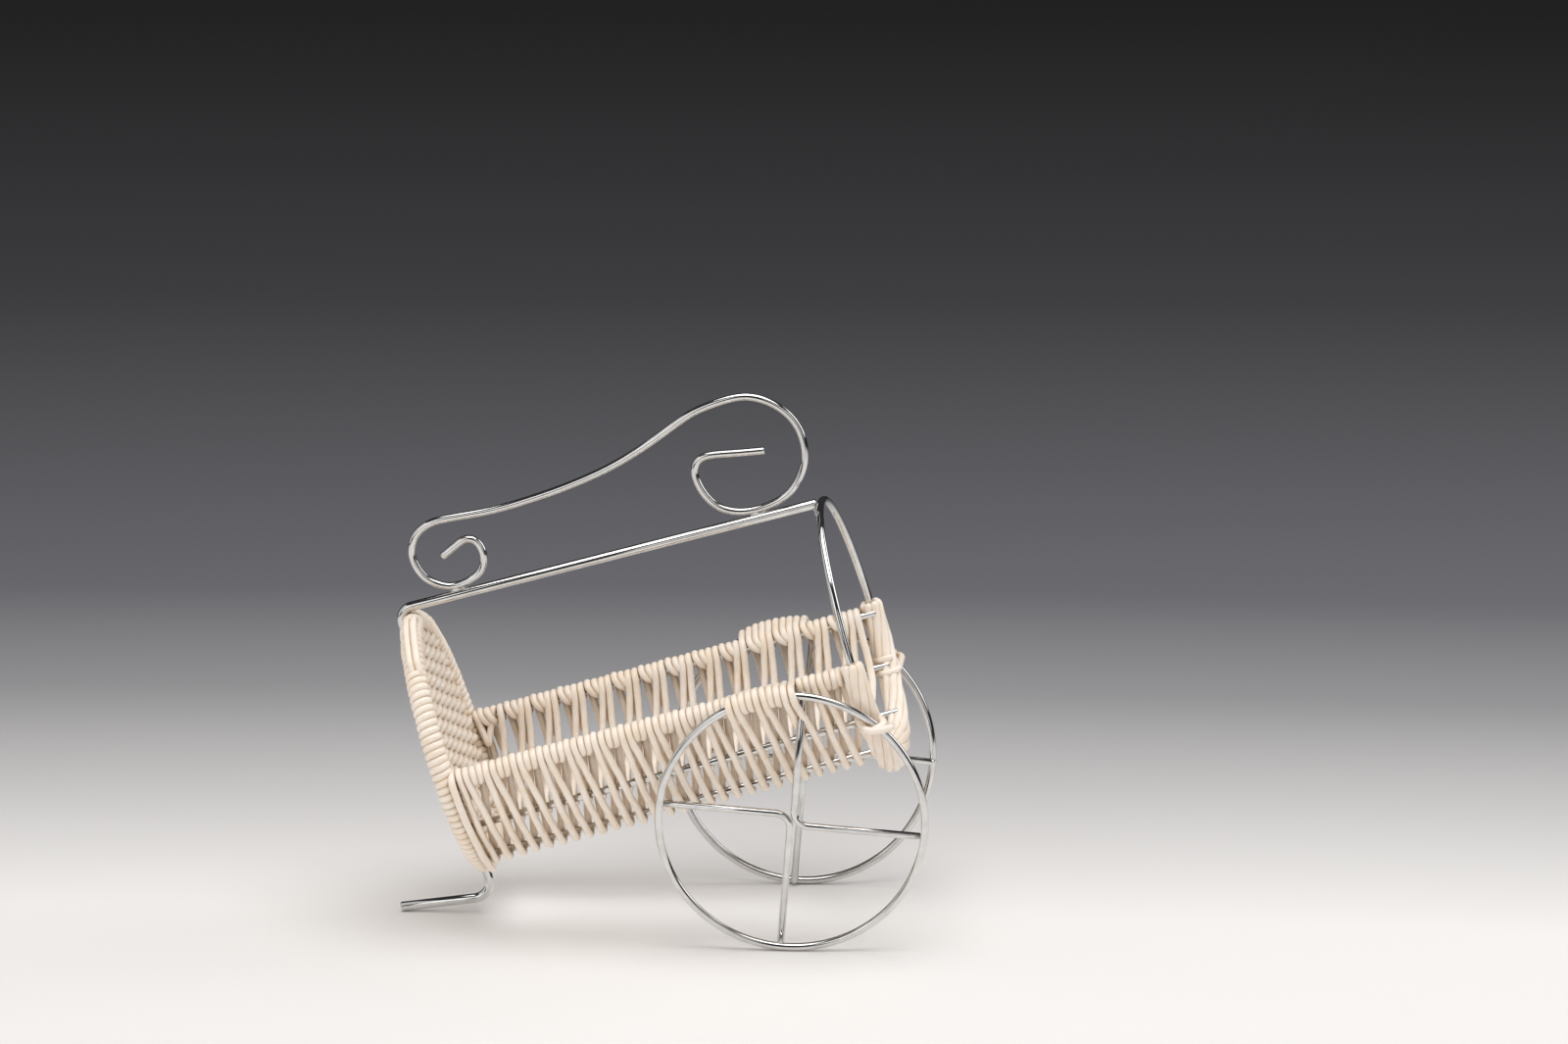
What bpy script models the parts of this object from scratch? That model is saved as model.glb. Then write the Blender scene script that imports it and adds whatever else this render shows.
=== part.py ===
"""Wine bottle basket: a wire cradle on two fixed wheels, walled with wound strand.

Lengths are in metres. +X points the way the bottle's neck does, +Z is up, and the
origin is on the floor under the middle of the basket. "Right" is the side at -Y.

The cradle has its own frame, tilted about Y: s runs along the bottle's axis towards the
neck, y is sideways and u is square to both. Its origin is on the axis over the wheels.
"""

import math

import bmesh
import bpy
import numpy as np
from mathutils import Matrix, Vector

# The bottle that lies in the cradle
BOTTLE_DIAMETER = 0.075
BOTTLE_PLAY = 0.0003

# Wire, strand and the gap left between pieces that touch
SPINE_WIRE = 0.0035
HOOP_WIRE = 0.0028
FRAME_WIRE = 0.0028
RAIL_WIRE = 0.0026
WHEEL_WIRE = 0.0028
SPOKE_WIRE = 0.0026
SCROLL_WIRE = 0.0027
STRAND = 0.0025
SEAT = 0.0003

# Cradle
CRADLE_TILT = math.radians(16.1)
CRADLE_LENGTH = 0.1530
HOOP_AHEAD_OF_WHEELS = 0.0245
RIM_ANGLE = math.radians(0.3)
MIDDLE_ANGLE = math.radians(27.2)
LOW_ANGLE = math.radians(53.8)
BAR_RISE = 0.0536
BAR_ABOVE_HOOP = 0.0002
HOOP_ASKEW = math.radians(2.1)
HOOP_LEAN = math.radians(0.5)
HOOP_FLATTENING = 0.0028
FRAME_FLATTENING = 0.0020
FRAME_RISE = 0.0497
FRAME_LEAN = math.radians(1.6)
PANEL_THICKNESS = 0.0036
RAIL_TRIM = 0.0014

# Spine: top bar, leg behind the panel and tail that stands on the floor
BAR_RISE_TO_REAR = math.radians(0.9)
SPINE_TOP_BEND = 0.0048
SPINE_FOOT_BEND = 0.0062
TAIL_SLOPE = math.radians(7.6)
TAIL_LENGTH = 0.0345

# Wheels: a ring and two bent spokes each, turned a little, their tops leaning outward
WHEEL_RADIUS = 0.0472
WHEEL_LEAN = math.radians(5.0)
WHEEL_OFF_WALL = 0.0006
WHEEL_TURN = math.radians(4.6)
SPOKE_BEND = 0.0055
SPOKE_SLIDE = 0.0012

# Scroll handle: its places along the bar, behind the bar's front end, and its sizes
FRONT_WELD = 0.0259
REAR_WELD = 0.1358
FRONT_SCROLL = 0.0413
REAR_SCROLL = 0.0255

# Wall winding: one strand a side, wound over the rim rail and under the low rail
WALL_LOOPS = 22
OUTER_ADVANCE = 0.0012
BINDING_SPAN = 0.0105
BINDING_CENTRE_BEHIND_WHEELS = 0.0165

# Whipping round the hoop and the frame
WHIP_ABOVE_RIM = 0.0042

# Lashing of each wheel ring to the hoop: its first and last place, in turns from the hoop's rear
LASHING_FIRST = -0.33
LASHING_LAST = 1.43
LASHING_PITCH = 0.0068

# One overrun serves every cut
OVERRUN = 0.001

# Points round a full circle on wheels, hoop and frame, and on small bends
RING_POINTS = 60
HOOP_POINTS = 56
FRAME_POINTS = 48
BEND_STEP = math.radians(22.5)
TUBE_ROUNDS = 2
STRAND_ROUNDS = 1

# Sizes that follow from the ones above
RAIL_RADIUS = BOTTLE_DIAMETER / 2 + BOTTLE_PLAY + STRAND + SEAT + RAIL_WIRE / 2
TURN_RADIUS = (RAIL_WIRE + STRAND) / 2 + SEAT
OUTER_PASS = RAIL_RADIUS + TURN_RADIUS
INNER_PASS = RAIL_RADIUS - TURN_RADIUS
HOOP_RADIUS = RAIL_RADIUS + (RAIL_WIRE + HOOP_WIRE) / 2 + SEAT
HOOP_RISE = BAR_RISE - BAR_ABOVE_HOOP
SPOKE_INSIDE_RING = (SPOKE_WIRE + WHEEL_WIRE) / 2 + SEAT
RING_TOP_PLANE = OUTER_PASS + (STRAND + SPOKE_WIRE) / 2 + SEAT + SPOKE_INSIDE_RING + WHEEL_OFF_WALL
WHEEL_PLANE = RING_TOP_PLANE - WHEEL_RADIUS * math.tan(WHEEL_LEAN)
WHEEL_HEIGHT = WHEEL_RADIUS + WHEEL_WIRE / 2
AXIS_HEIGHT = WHEEL_HEIGHT + WHEEL_RADIUS
HOOP_WHIP = HOOP_WIRE / 2 + SEAT + STRAND
FRAME_WHIP = FRAME_WIRE / 2 + SEAT + STRAND
FRAME_S = HOOP_AHEAD_OF_WHEELS - CRADLE_LENGTH
LEG_BEHIND_FRAME = (FRAME_WIRE + SPINE_WIRE) / 2 + SEAT
LEG_LEAN = CRADLE_TILT + FRAME_LEAN
FLAT_FROM = math.sin(LOW_ANGLE)
WHEEL_FLAT = WHEEL_WIRE / 2 / math.cos(math.pi / (4 + 2 * TUBE_ROUNDS))
RAIL_ANGLES = {"rim": RIM_ANGLE, "middle": MIDDLE_ANGLE, "low": LOW_ANGLE}
SIDES = {"right": -1, "left": 1}

PARTS = "wine_bottle_basket"
CUTTERS = "cutters"


def clear_scene():
    for thing in list(bpy.data.objects):
        bpy.data.objects.remove(thing, do_unlink=True)
    for name in (PARTS, CUTTERS):
        bpy.context.scene.collection.children.link(bpy.data.collections.new(name))


def make_material(name, colour, roughness, metallic):
    material = bpy.data.materials.new(name)
    material.use_nodes = True
    shader = material.node_tree.nodes["Principled BSDF"]
    shader.inputs["Base Color"].default_value = (*colour, 1.0)
    shader.inputs["Roughness"].default_value = roughness
    shader.inputs["Metallic"].default_value = metallic
    return material


def add_part(name, data, material, collection=PARTS):
    part = bpy.data.objects.new(name, data)
    bpy.data.collections[collection].objects.link(part)
    if material is not None:
        data.materials.append(material)
    return part


# Frames of the cradle and of its back frame


def leg_foot_corner():
    """Where the leg's line meets the tail's, in the plane of the spine, from over the wheels."""
    tip_height = SPINE_WIRE / 2 * math.cos(TAIL_SLOPE)
    corner_height = tip_height + TAIL_LENGTH * math.sin(TAIL_SLOPE)
    leg_s = FRAME_S - LEG_BEHIND_FRAME / math.cos(FRAME_LEAN)
    drop = AXIS_HEIGHT + leg_s * math.sin(CRADLE_TILT) - corner_height
    return leg_s * math.cos(CRADLE_TILT) + drop * math.tan(LEG_LEAN), corner_height


def rear_reach():
    """How far the tail's tip lies behind the wheels' centres."""
    corner_x, _ = leg_foot_corner()
    tip = corner_x - TAIL_LENGTH * math.cos(TAIL_SLOPE)
    return -tip + SPINE_WIRE / 2 * math.sin(TAIL_SLOPE)


WHEEL_X = (rear_reach() - WHEEL_RADIUS - WHEEL_WIRE / 2) / 2


def in_cradle(s, y, u):
    """World place of a point given in the cradle's frame."""
    x = WHEEL_X + s * math.cos(CRADLE_TILT) - u * math.sin(CRADLE_TILT)
    z = AXIS_HEIGHT + s * math.sin(CRADLE_TILT) + u * math.cos(CRADLE_TILT)
    return Vector((x, y, z))


def cradle_matrix(s, lean=0.0):
    """Frame whose Z runs along the bottle's axis and whose Y points up, at s, leaning back."""
    tilt = CRADLE_TILT + lean
    along = Vector((math.cos(tilt), 0, math.sin(tilt)))
    up = Vector((-math.sin(tilt), 0, math.cos(tilt)))
    matrix = Matrix((up.cross(along), up, along)).transposed().to_4x4()
    matrix.translation = in_cradle(s, 0, 0)
    return matrix


def polar(radius, angle, side):
    """(y, u) of a point at this angle below the axis, on one side."""
    return side * radius * math.cos(angle), -radius * math.sin(angle)


# Wires


def wire(name, points, diameter, material, closed=False, rounds=TUBE_ROUNDS, caps=True):
    curve = bpy.data.curves.new(name, "CURVE")
    curve.dimensions = "3D"
    curve.bevel_depth = diameter / 2
    curve.bevel_resolution = rounds
    curve.use_fill_caps = caps
    spline = curve.splines.new("POLY")
    spline.points.add(len(points) - 1)
    for target, point in zip(spline.points, points):
        target.co = (*point, 1.0)
    spline.use_cyclic_u = closed
    return add_part(name, curve, material)


def bent(corners, radii):
    """The corners' polyline, with an arc of each radius at the corners between its ends."""
    path = [Vector(corners[0])]
    for before, corner, after, radius in zip(corners, corners[1:], corners[2:], radii):
        back = (Vector(before) - Vector(corner)).normalized()
        ahead = (Vector(after) - Vector(corner)).normalized()
        turn = math.pi - back.angle(ahead)
        reach = radius * math.tan(turn / 2)
        start = Vector(corner) + back * reach
        inward = (back + ahead).normalized()
        centre = Vector(corner) + inward * (radius / math.cos(turn / 2))
        steps = max(2, math.ceil(turn / BEND_STEP))
        arm = start - centre
        for step in range(steps + 1):
            angle = turn * step / steps
            path.append(centre + arm * math.cos(angle) - back * radius * math.sin(angle))
    path.append(Vector(corners[-1]))
    return path


def through(points, count):
    """An even walk of count steps along a smooth curve through the points."""
    knots = [points[0] * 2 - points[1], *points, points[-1] * 2 - points[-2]]
    dense = []
    fine = 24
    for a, b, c, d in zip(knots, knots[1:], knots[2:], knots[3:]):
        for step in range(fine):
            t = step / fine
            cubic = (d - a + (b - c) * 3) * t**3
            dense.append(b + ((c - a) * t + (a * 2 - b * 5 + c * 4 - d) * t**2 + cubic) / 2)
    dense.append(points[-1])
    lengths = [0.0]
    for here, there in zip(dense, dense[1:]):
        lengths.append(lengths[-1] + (there - here).length)
    wanted = [lengths[-1] * step / count for step in range(count + 1)]
    columns = [np.interp(wanted, lengths, [p[axis] for p in dense]) for axis in range(3)]
    return [Vector(point) for point in zip(*columns)]


def oval_point(radius, rise, flattening, angle):
    """(y, height): a half ellipse above the axis, and below it a half circle with a flat bottom."""
    y = radius * math.cos(angle)
    depth = -math.sin(angle)
    if depth < 0:
        return y, -rise * depth
    past_rails = max(0.0, depth - FLAT_FROM) / (1 - FLAT_FROM)
    return y, flattening * past_rails**2 - radius * depth


def oval(radius, rise, flattening, count):
    return [oval_point(radius, rise, flattening, math.tau * step / count) for step in range(count)]


def hoop_s(y, u):
    """Place of the hoop's plane along the cradle: it stands a little askew."""
    return HOOP_AHEAD_OF_WHEELS + y * math.tan(HOOP_ASKEW) - u * math.tan(HOOP_LEAN)


BAR_FRONT_S = hoop_s(0, HOOP_RISE) - HOOP_WIRE / 2 - SEAT
WALL_START = FRAME_S + FRAME_WHIP + SEAT + STRAND / 2
WALL_END = hoop_s(-RAIL_RADIUS, 0) - HOOP_WHIP - SEAT - STRAND / 2
WALL_LEAD = (WALL_END - WALL_START) / WALL_LOOPS


def bar_u(s):
    """Height of the top bar's centre line over the bottle's axis."""
    return BAR_RISE + (BAR_FRONT_S - s) * math.tan(BAR_RISE_TO_REAR)


def spine_path():
    corner_x, corner_height = leg_foot_corner()
    corner = Vector((WHEEL_X + corner_x, 0, corner_height))
    tail = Vector((-math.cos(TAIL_SLOPE), 0, -math.sin(TAIL_SLOPE)))
    leg_s = FRAME_S - LEG_BEHIND_FRAME / math.cos(FRAME_LEAN)
    slope = math.tan(FRAME_LEAN)
    top_u = (bar_u(leg_s)) / (1 - slope * math.tan(BAR_RISE_TO_REAR))
    top = in_cradle(leg_s - top_u * slope, 0, top_u)
    front = in_cradle(BAR_FRONT_S, 0, BAR_RISE)
    corners = (front, top, corner, corner + tail * TAIL_LENGTH)
    return bent(corners, (SPINE_TOP_BEND, SPINE_FOOT_BEND))


def build_spine(material):
    wire("spine_wire", spine_path(), SPINE_WIRE, material)


# Scroll handle: places as shares of each scroll's height, from its weld on the bar.
# The first number of each pair runs forward along the bar, the second up from it.
FRONT_SCROLL_SHARES = (
    (0.324, 0.484),
    (0.09, 0.523),
    (-0.149, 0.565),
    (-0.262, 0.55),
    (-0.319, 0.44),
    (-0.29, 0.25),
    (-0.187, 0.088),
    (0.0, 0.006),
    (0.241, 0.006),
    (0.45, 0.082),
    (0.617, 0.27),
    (0.672, 0.48),
    (0.635, 0.69),
    (0.51, 0.862),
    (0.33, 0.975),
    (0.14, 1.0),
)
GRIP_SHARES = (
    (0.055, 0.972),
    (0.13, 0.905),
    (0.245, 0.785),
    (0.37, 0.684),
    (0.5, 0.62),
    (0.635, 0.583),
    (0.79, 0.567),
)
REAR_SCROLL_SHARES = (
    (0.15, 0.97),
    (-0.06, 0.94),
    (-0.25, 0.84),
    (-0.365, 0.63),
    (-0.36, 0.4),
    (-0.25, 0.17),
    (0.0, 0.01),
    (0.25, 0.012),
    (0.48, 0.09),
    (0.605, 0.28),
    (0.6, 0.49),
    (0.51, 0.61),
    (0.395, 0.62),
    (0.24, 0.545),
    (0.03, 0.45),
)
SCROLL_STEPS = 84


def build_scroll_handle(material):
    off_bar = (SPINE_WIRE + SCROLL_WIRE) / 2 + SEAT
    front_s = BAR_FRONT_S - FRONT_WELD
    rear_s = BAR_FRONT_S - REAR_WELD

    def place(s, rise):
        return in_cradle(s, 0, bar_u(s) + off_bar + rise)

    knots = []
    for along, up in FRONT_SCROLL_SHARES:
        knots.append(place(front_s + along * FRONT_SCROLL, up * FRONT_SCROLL))
    for along, up in GRIP_SHARES:
        knots.append(place(front_s + along * (rear_s - front_s), up * FRONT_SCROLL))
    for along, up in REAR_SCROLL_SHARES:
        knots.append(place(rear_s + along * REAR_SCROLL, up * REAR_SCROLL))
    wire("scroll_handle", through(knots, SCROLL_STEPS), SCROLL_WIRE, material)


# Hoop, back frame and rails


def build_hoop(material):
    points = []
    for y, u in oval(HOOP_RADIUS, HOOP_RISE, HOOP_FLATTENING, HOOP_POINTS):
        points.append(in_cradle(hoop_s(y, u), y, u))
    wire("front_hoop", points, HOOP_WIRE, material, closed=True)


def frame_points():
    matrix = cradle_matrix(FRAME_S, FRAME_LEAN)
    outline = oval(RAIL_RADIUS, FRAME_RISE, FRAME_FLATTENING, FRAME_POINTS)
    return [matrix @ Vector((y, height, 0)) for y, height in outline]


def build_back_frame(material):
    wire("back_frame", frame_points(), FRAME_WIRE, material, closed=True, rounds=STRAND_ROUNDS)


def rail_rear(u):
    """Where a rail at this height ends, just clear of the back frame's wire."""
    return FRAME_S - u * math.tan(FRAME_LEAN) + FRAME_WIRE / 2 + SEAT


def build_rails(material):
    for rail, angle in RAIL_ANGLES.items():
        for side_name, side in SIDES.items():
            y, u = polar(RAIL_RADIUS, angle, side)
            front = hoop_s(y, u) + RAIL_TRIM
            ends = (in_cradle(rail_rear(u), y, u), in_cradle(front, y, u))
            wire(f"{rail}_rail_{side_name}", ends, RAIL_WIRE, material)


# Wheels


def on_wheel(side, x, inside, z):
    """World place of a point of a wheel that leans out, given from its centre."""
    y = WHEEL_PLANE - inside + z * math.tan(WHEEL_LEAN)
    return Vector((WHEEL_X + x, side * y, WHEEL_HEIGHT + z))


def build_wheel_ring(side_name, side, material):
    """Ring whose section and outline both have a flat at the bottom, to stand on the floor."""
    around = 4 + 2 * TUBE_ROUNDS
    to_corner = 1 / math.cos(math.pi / RING_POINTS)
    ring = bmesh.new()
    loops = []
    for step in range(RING_POINTS):
        angle = math.tau * (step + 1 / 2) / RING_POINTS
        loop = []
        for place in range(around):
            swing = math.tau * (place + 1 / 2) / around
            radius = (WHEEL_RADIUS + WHEEL_FLAT * math.cos(swing)) * to_corner
            across = WHEEL_FLAT * math.sin(swing)
            spot = on_wheel(side, radius * math.sin(angle), across, -radius * math.cos(angle))
            loop.append(ring.verts.new(spot))
        loops.append(loop)
    for loop, after in zip(loops, loops[1:] + loops[:1]):
        for place in range(around):
            beside = (place + 1) % around
            ring.faces.new((loop[place], after[place], after[beside], loop[beside]))
    bmesh.ops.recalc_face_normals(ring, faces=ring.faces)
    mesh = bpy.data.meshes.new(f"wheel_ring_{side_name}")
    ring.to_mesh(mesh)
    ring.free()
    mesh.shade_smooth()
    add_part(f"wheel_ring_{side_name}", mesh, material)


def build_spokes(side_name, side, material):
    """Two wires bent to an L, back to back. The left wheel is the right one turned about."""
    apart = 2 * SPOKE_BEND + SPOKE_WIRE + SEAT
    diagonal = math.sqrt(apart**2 - 8 * SPOKE_SLIDE**2)
    corner = SPOKE_BEND - diagonal / math.sqrt(8)
    turn = Matrix.Rotation(WHEEL_TURN, 4, "Y")
    lengthwise = corner - SPOKE_SLIDE
    upright = corner + SPOKE_SLIDE
    across = math.sqrt(WHEEL_RADIUS**2 - upright**2)
    down = math.sqrt(WHEEL_RADIUS**2 - lengthwise**2)
    for way in (1, -1):
        flat = ((-across, upright), (lengthwise, upright), (lengthwise, -down))
        turned = [turn @ Vector((-side * way * x, 0, way * z)) for x, z in flat]
        corners = [on_wheel(side, place.x, SPOKE_INSIDE_RING, place.z) for place in turned]
        name = "front_spoke" if way == side else "rear_spoke"
        wire(f"{name}_{side_name}", bent(corners, (SPOKE_BEND,)), SPOKE_WIRE, material)


def ring_u(s):
    """Height in the cradle's frame of the upper side of the wheel rings' centre line at s."""
    drop = AXIS_HEIGHT - WHEEL_HEIGHT
    ahead = s + drop * math.sin(CRADLE_TILT)
    return math.sqrt(WHEEL_RADIUS**2 - ahead**2) - drop * math.cos(CRADLE_TILT)


def ring_y(s, u):
    """How far from the middle the wheel rings' plane is at this place of the cradle's frame."""
    below_top = WHEEL_RADIUS + WHEEL_HEIGHT - in_cradle(s, 0, u).z
    return RING_TOP_PLANE - below_top * math.tan(WHEEL_LEAN)


def ring_s(u):
    """Front place in the cradle's frame of the wheel rings' centre line at this height."""
    drop = AXIS_HEIGHT - WHEEL_HEIGHT
    above = u + drop * math.cos(CRADLE_TILT)
    return math.sqrt(WHEEL_RADIUS**2 - above**2) - drop * math.sin(CRADLE_TILT)


# Wall winding


def turn_round(radius, angle, side, first, count):
    """Points of the half turn that a strand makes round a rail, from the outside or inside."""
    y, u = polar(radius, angle, side)
    points = []
    for step in range(1, count):
        swing = math.pi * step / count
        outward = TURN_RADIUS * math.cos(swing) * first
        past = TURN_RADIUS * math.sin(swing) * first
        points.append(
            (
                y + side * (outward * math.cos(angle) - past * math.sin(angle)),
                u - outward * math.sin(angle) - past * math.cos(angle),
            )
        )
    return points


def wall_loop(side):
    """One loop in section, each place with its share of the loop's advance along the wall.

    The strand runs straight from rail to rail outside, with hardly any advance, turns
    round the low rail, makes most of its advance on the way up inside, and turns over the rim.
    """
    rim_to_middle = (RIM_ANGLE + MIDDLE_ANGLE) / 2
    middle_to_low = (MIDDLE_ANGLE + LOW_ANGLE) / 2
    turn_steps = 4
    outside = [polar(OUTER_PASS, angle, side) for angle in (RIM_ANGLE, MIDDLE_ANGLE, LOW_ANGLE)]
    low_turn = turn_round(RAIL_RADIUS, LOW_ANGLE, side, 1, turn_steps)
    angles = (LOW_ANGLE, middle_to_low, MIDDLE_ANGLE, rim_to_middle, RIM_ANGLE)
    inside = [polar(INNER_PASS, angle, side) for angle in angles]
    rim_turn = turn_round(RAIL_RADIUS, RIM_ANGLE, side, -1, turn_steps)
    loop = outside + low_turn + inside + rim_turn
    down = len(outside) - 1
    up = len(loop) - down
    advances = [OUTER_ADVANCE * place / down for place in range(down)]
    advances += [OUTER_ADVANCE + (WALL_LEAD - OUTER_ADVANCE) * place / up for place in range(up)]
    return list(zip(loop, advances))


def over_ring(s, side):
    """Points that take a strand over the wheel ring and back to the wall."""
    reach = (WHEEL_WIRE + STRAND) / 2 + SEAT
    height = ring_u(s)
    plane = ring_y(s, height)
    slant = reach * math.cos(math.pi / 4)
    return [
        (side * (plane - slant), height + slant),
        (side * plane, height + reach),
        (side * (plane + slant), height + slant),
        (side * (plane + reach), height),
        (side * (plane + slant), height - slant),
    ]


def strand_path(side):
    """The strand's points, wound from the back of the wall to its front."""
    path = []
    for turn in range(WALL_LOOPS):
        start = WALL_START + turn * WALL_LEAD
        bound = abs(start + BINDING_CENTRE_BEHIND_WHEELS) < BINDING_SPAN
        loop = wall_loop(side)
        if bound:
            path += [in_cradle(start, *over) for over in over_ring(start, side)]
            loop = loop[1:]
        for (y, u), advance in loop:
            path.append(in_cradle(start + advance, y, u))
    return path


def least_gap(path):
    """Least clear gap between turns of one strand, on its centre line's points."""
    points = np.array(path)
    apart = 10
    least = math.inf
    for index in range(len(points) - apart):
        away = np.linalg.norm(points[index + apart :] - points[index], axis=1)
        least = min(least, away.min())
    return least - STRAND


def build_walls(material):
    for side_name, side in SIDES.items():
        path = strand_path(side)
        name = f"wall_strand_{side_name}"
        wire(name, path, STRAND, material, rounds=STRAND_ROUNDS)
        print(f"{name}: least gap to itself {least_gap(path) * 1000:.2f} mm")


# Whipping, panel and lashings


def as_mesh(source):
    """A closed mesh object in place of a bevelled curve."""
    bpy.context.view_layer.update()
    evaluated = source.evaluated_get(bpy.context.evaluated_depsgraph_get())
    mesh = bpy.data.meshes.new_from_object(evaluated)
    welded = bmesh.new()
    welded.from_mesh(mesh)
    bmesh.ops.remove_doubles(welded, verts=welded.verts, dist=1e-6)
    bmesh.ops.recalc_face_normals(welded, faces=welded.faces)
    welded.to_mesh(mesh)
    welded.free()
    name = source.name
    collection = source.users_collection[0]
    place = source.matrix_world.copy()
    bpy.data.objects.remove(source, do_unlink=True)
    solid = bpy.data.objects.new(name, mesh)
    solid.matrix_world = place
    collection.objects.link(solid)
    return solid


def as_cutter(part):
    """Hides a solid and moves it among the cutters."""
    bpy.data.collections[PARTS].objects.unlink(part)
    bpy.data.collections[CUTTERS].objects.link(part)
    part.hide_render = True
    part.display_type = "WIRE"
    return part


def cut(part, cutter):
    modifier = part.modifiers.new(cutter.name, "BOOLEAN")
    modifier.operation = "DIFFERENCE"
    modifier.object = cutter


def rail_cutter(name, rear, front, y, u):
    ends = (in_cradle(rear, y, u), in_cradle(front, y, u))
    bore = RAIL_WIRE + 2 * SEAT
    return as_cutter(as_mesh(wire(name, ends, bore, None)))


def build_back_whipping(material):
    """Sleeve of wraps round the whole back frame, open where the rails and the leg reach it."""
    points = frame_points()
    sleeve = as_mesh(wire("back_whipping", points, 2 * FRAME_WHIP, material, closed=True))
    bore = FRAME_WIRE + 2 * SEAT
    core = wire("back_core", points, bore, None, closed=True, rounds=STRAND_ROUNDS)
    cut(sleeve, as_cutter(as_mesh(core)))
    leg = wire("leg_notch", spine_path(), SPINE_WIRE + 2 * SEAT, None)
    cut(sleeve, as_cutter(as_mesh(leg)))
    for rail, angle in RAIL_ANGLES.items():
        for side_name, side in SIDES.items():
            y, u = polar(RAIL_RADIUS, angle, side)
            rear = rail_rear(u) - FRAME_WIRE / 2
            front = rear + FRAME_WHIP + OVERRUN
            cut(sleeve, rail_cutter(f"{rail}_rear_hole_{side_name}", rear, front, y, u))


def hoop_arc(beyond):
    """Points of the hoop under the rim, from one side to the other, this much further up."""
    start = math.asin((WHIP_ABOVE_RIM + beyond) / HOOP_RISE)
    sweep = math.pi + 2 * start
    steps = 24
    points = []
    for step in range(steps + 1):
        angle = start - sweep * step / steps
        y, u = oval_point(HOOP_RADIUS, HOOP_RISE, HOOP_FLATTENING, angle)
        points.append(in_cradle(hoop_s(y, u), y, u))
    return points


def build_front_whipping(material):
    """Sleeve of wraps round the hoop below the rims, notched for the ends of the rails."""
    sleeve = as_mesh(wire("front_whipping", hoop_arc(0.0), 2 * HOOP_WHIP, material))
    core = wire("front_core", hoop_arc(OVERRUN), HOOP_WIRE + 2 * SEAT, None)
    cut(sleeve, as_cutter(as_mesh(core)))
    for rail, angle in RAIL_ANGLES.items():
        for side_name, side in SIDES.items():
            y, u = polar(RAIL_RADIUS, angle, side)
            rear = hoop_s(y, u) - HOOP_WHIP - OVERRUN
            front = hoop_s(y, u) + RAIL_TRIM + SEAT
            cut(sleeve, rail_cutter(f"{rail}_front_hole_{side_name}", rear, front, y, u))


def build_panel(material):
    """Woven panel that fills the back frame, inside its whipping."""
    inset = FRAME_WHIP + SEAT
    outline = oval(RAIL_RADIUS - inset, FRAME_RISE - inset, FRAME_FLATTENING, FRAME_POINTS)
    curve = bpy.data.curves.new("back_panel", "CURVE")
    curve.dimensions = "2D"
    curve.fill_mode = "BOTH"
    curve.extrude = PANEL_THICKNESS / 2
    spline = curve.splines.new("POLY")
    spline.points.add(len(outline) - 1)
    for target, (y, height) in zip(spline.points, outline):
        target.co = (y, height, 0.0, 1.0)
    spline.use_cyclic_u = True
    panel = add_part("back_panel", curve, material)
    ahead = (PANEL_THICKNESS - FRAME_WIRE) / 2
    panel.matrix_world = cradle_matrix(FRAME_S + ahead / math.cos(FRAME_LEAN), FRAME_LEAN)


def belt(a, reach_a, b, reach_b, share):
    """Point at this share of a belt's turn round two round bars, given their centres."""
    apart = math.dist(a, b)
    line = math.atan2(b[1] - a[1], b[0] - a[0])
    splay = math.asin((reach_b - reach_a) / apart)
    half_a = math.pi / 2 - splay
    half_b = math.pi / 2 + splay
    run = apart * math.cos(splay)
    arc_a = 2 * half_a * reach_a
    arc_b = 2 * half_b * reach_b
    way = (share % 1.0) * (arc_a + arc_b + 2 * run)
    leave_a = line - half_b
    leave_b = line + half_b
    if way < arc_b:
        angle = line - half_b + way / reach_b
        return b[0] + reach_b * math.cos(angle), b[1] + reach_b * math.sin(angle)
    way -= arc_b
    if way < run:
        t = way / run
        first = (b[0] + reach_b * math.cos(leave_b), b[1] + reach_b * math.sin(leave_b))
        last = (a[0] + reach_a * math.cos(leave_b), a[1] + reach_a * math.sin(leave_b))
        return first[0] + (last[0] - first[0]) * t, first[1] + (last[1] - first[1]) * t
    way -= run
    if way < arc_a:
        angle = line + half_b + way / reach_a
        return a[0] + reach_a * math.cos(angle), a[1] + reach_a * math.sin(angle)
    way -= arc_a
    t = way / run
    first = (a[0] + reach_a * math.cos(leave_a), a[1] + reach_a * math.sin(leave_a))
    last = (b[0] + reach_b * math.cos(leave_a), b[1] + reach_b * math.sin(leave_a))
    return first[0] + (last[0] - first[0]) * t, first[1] + (last[1] - first[1]) * t


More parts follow.
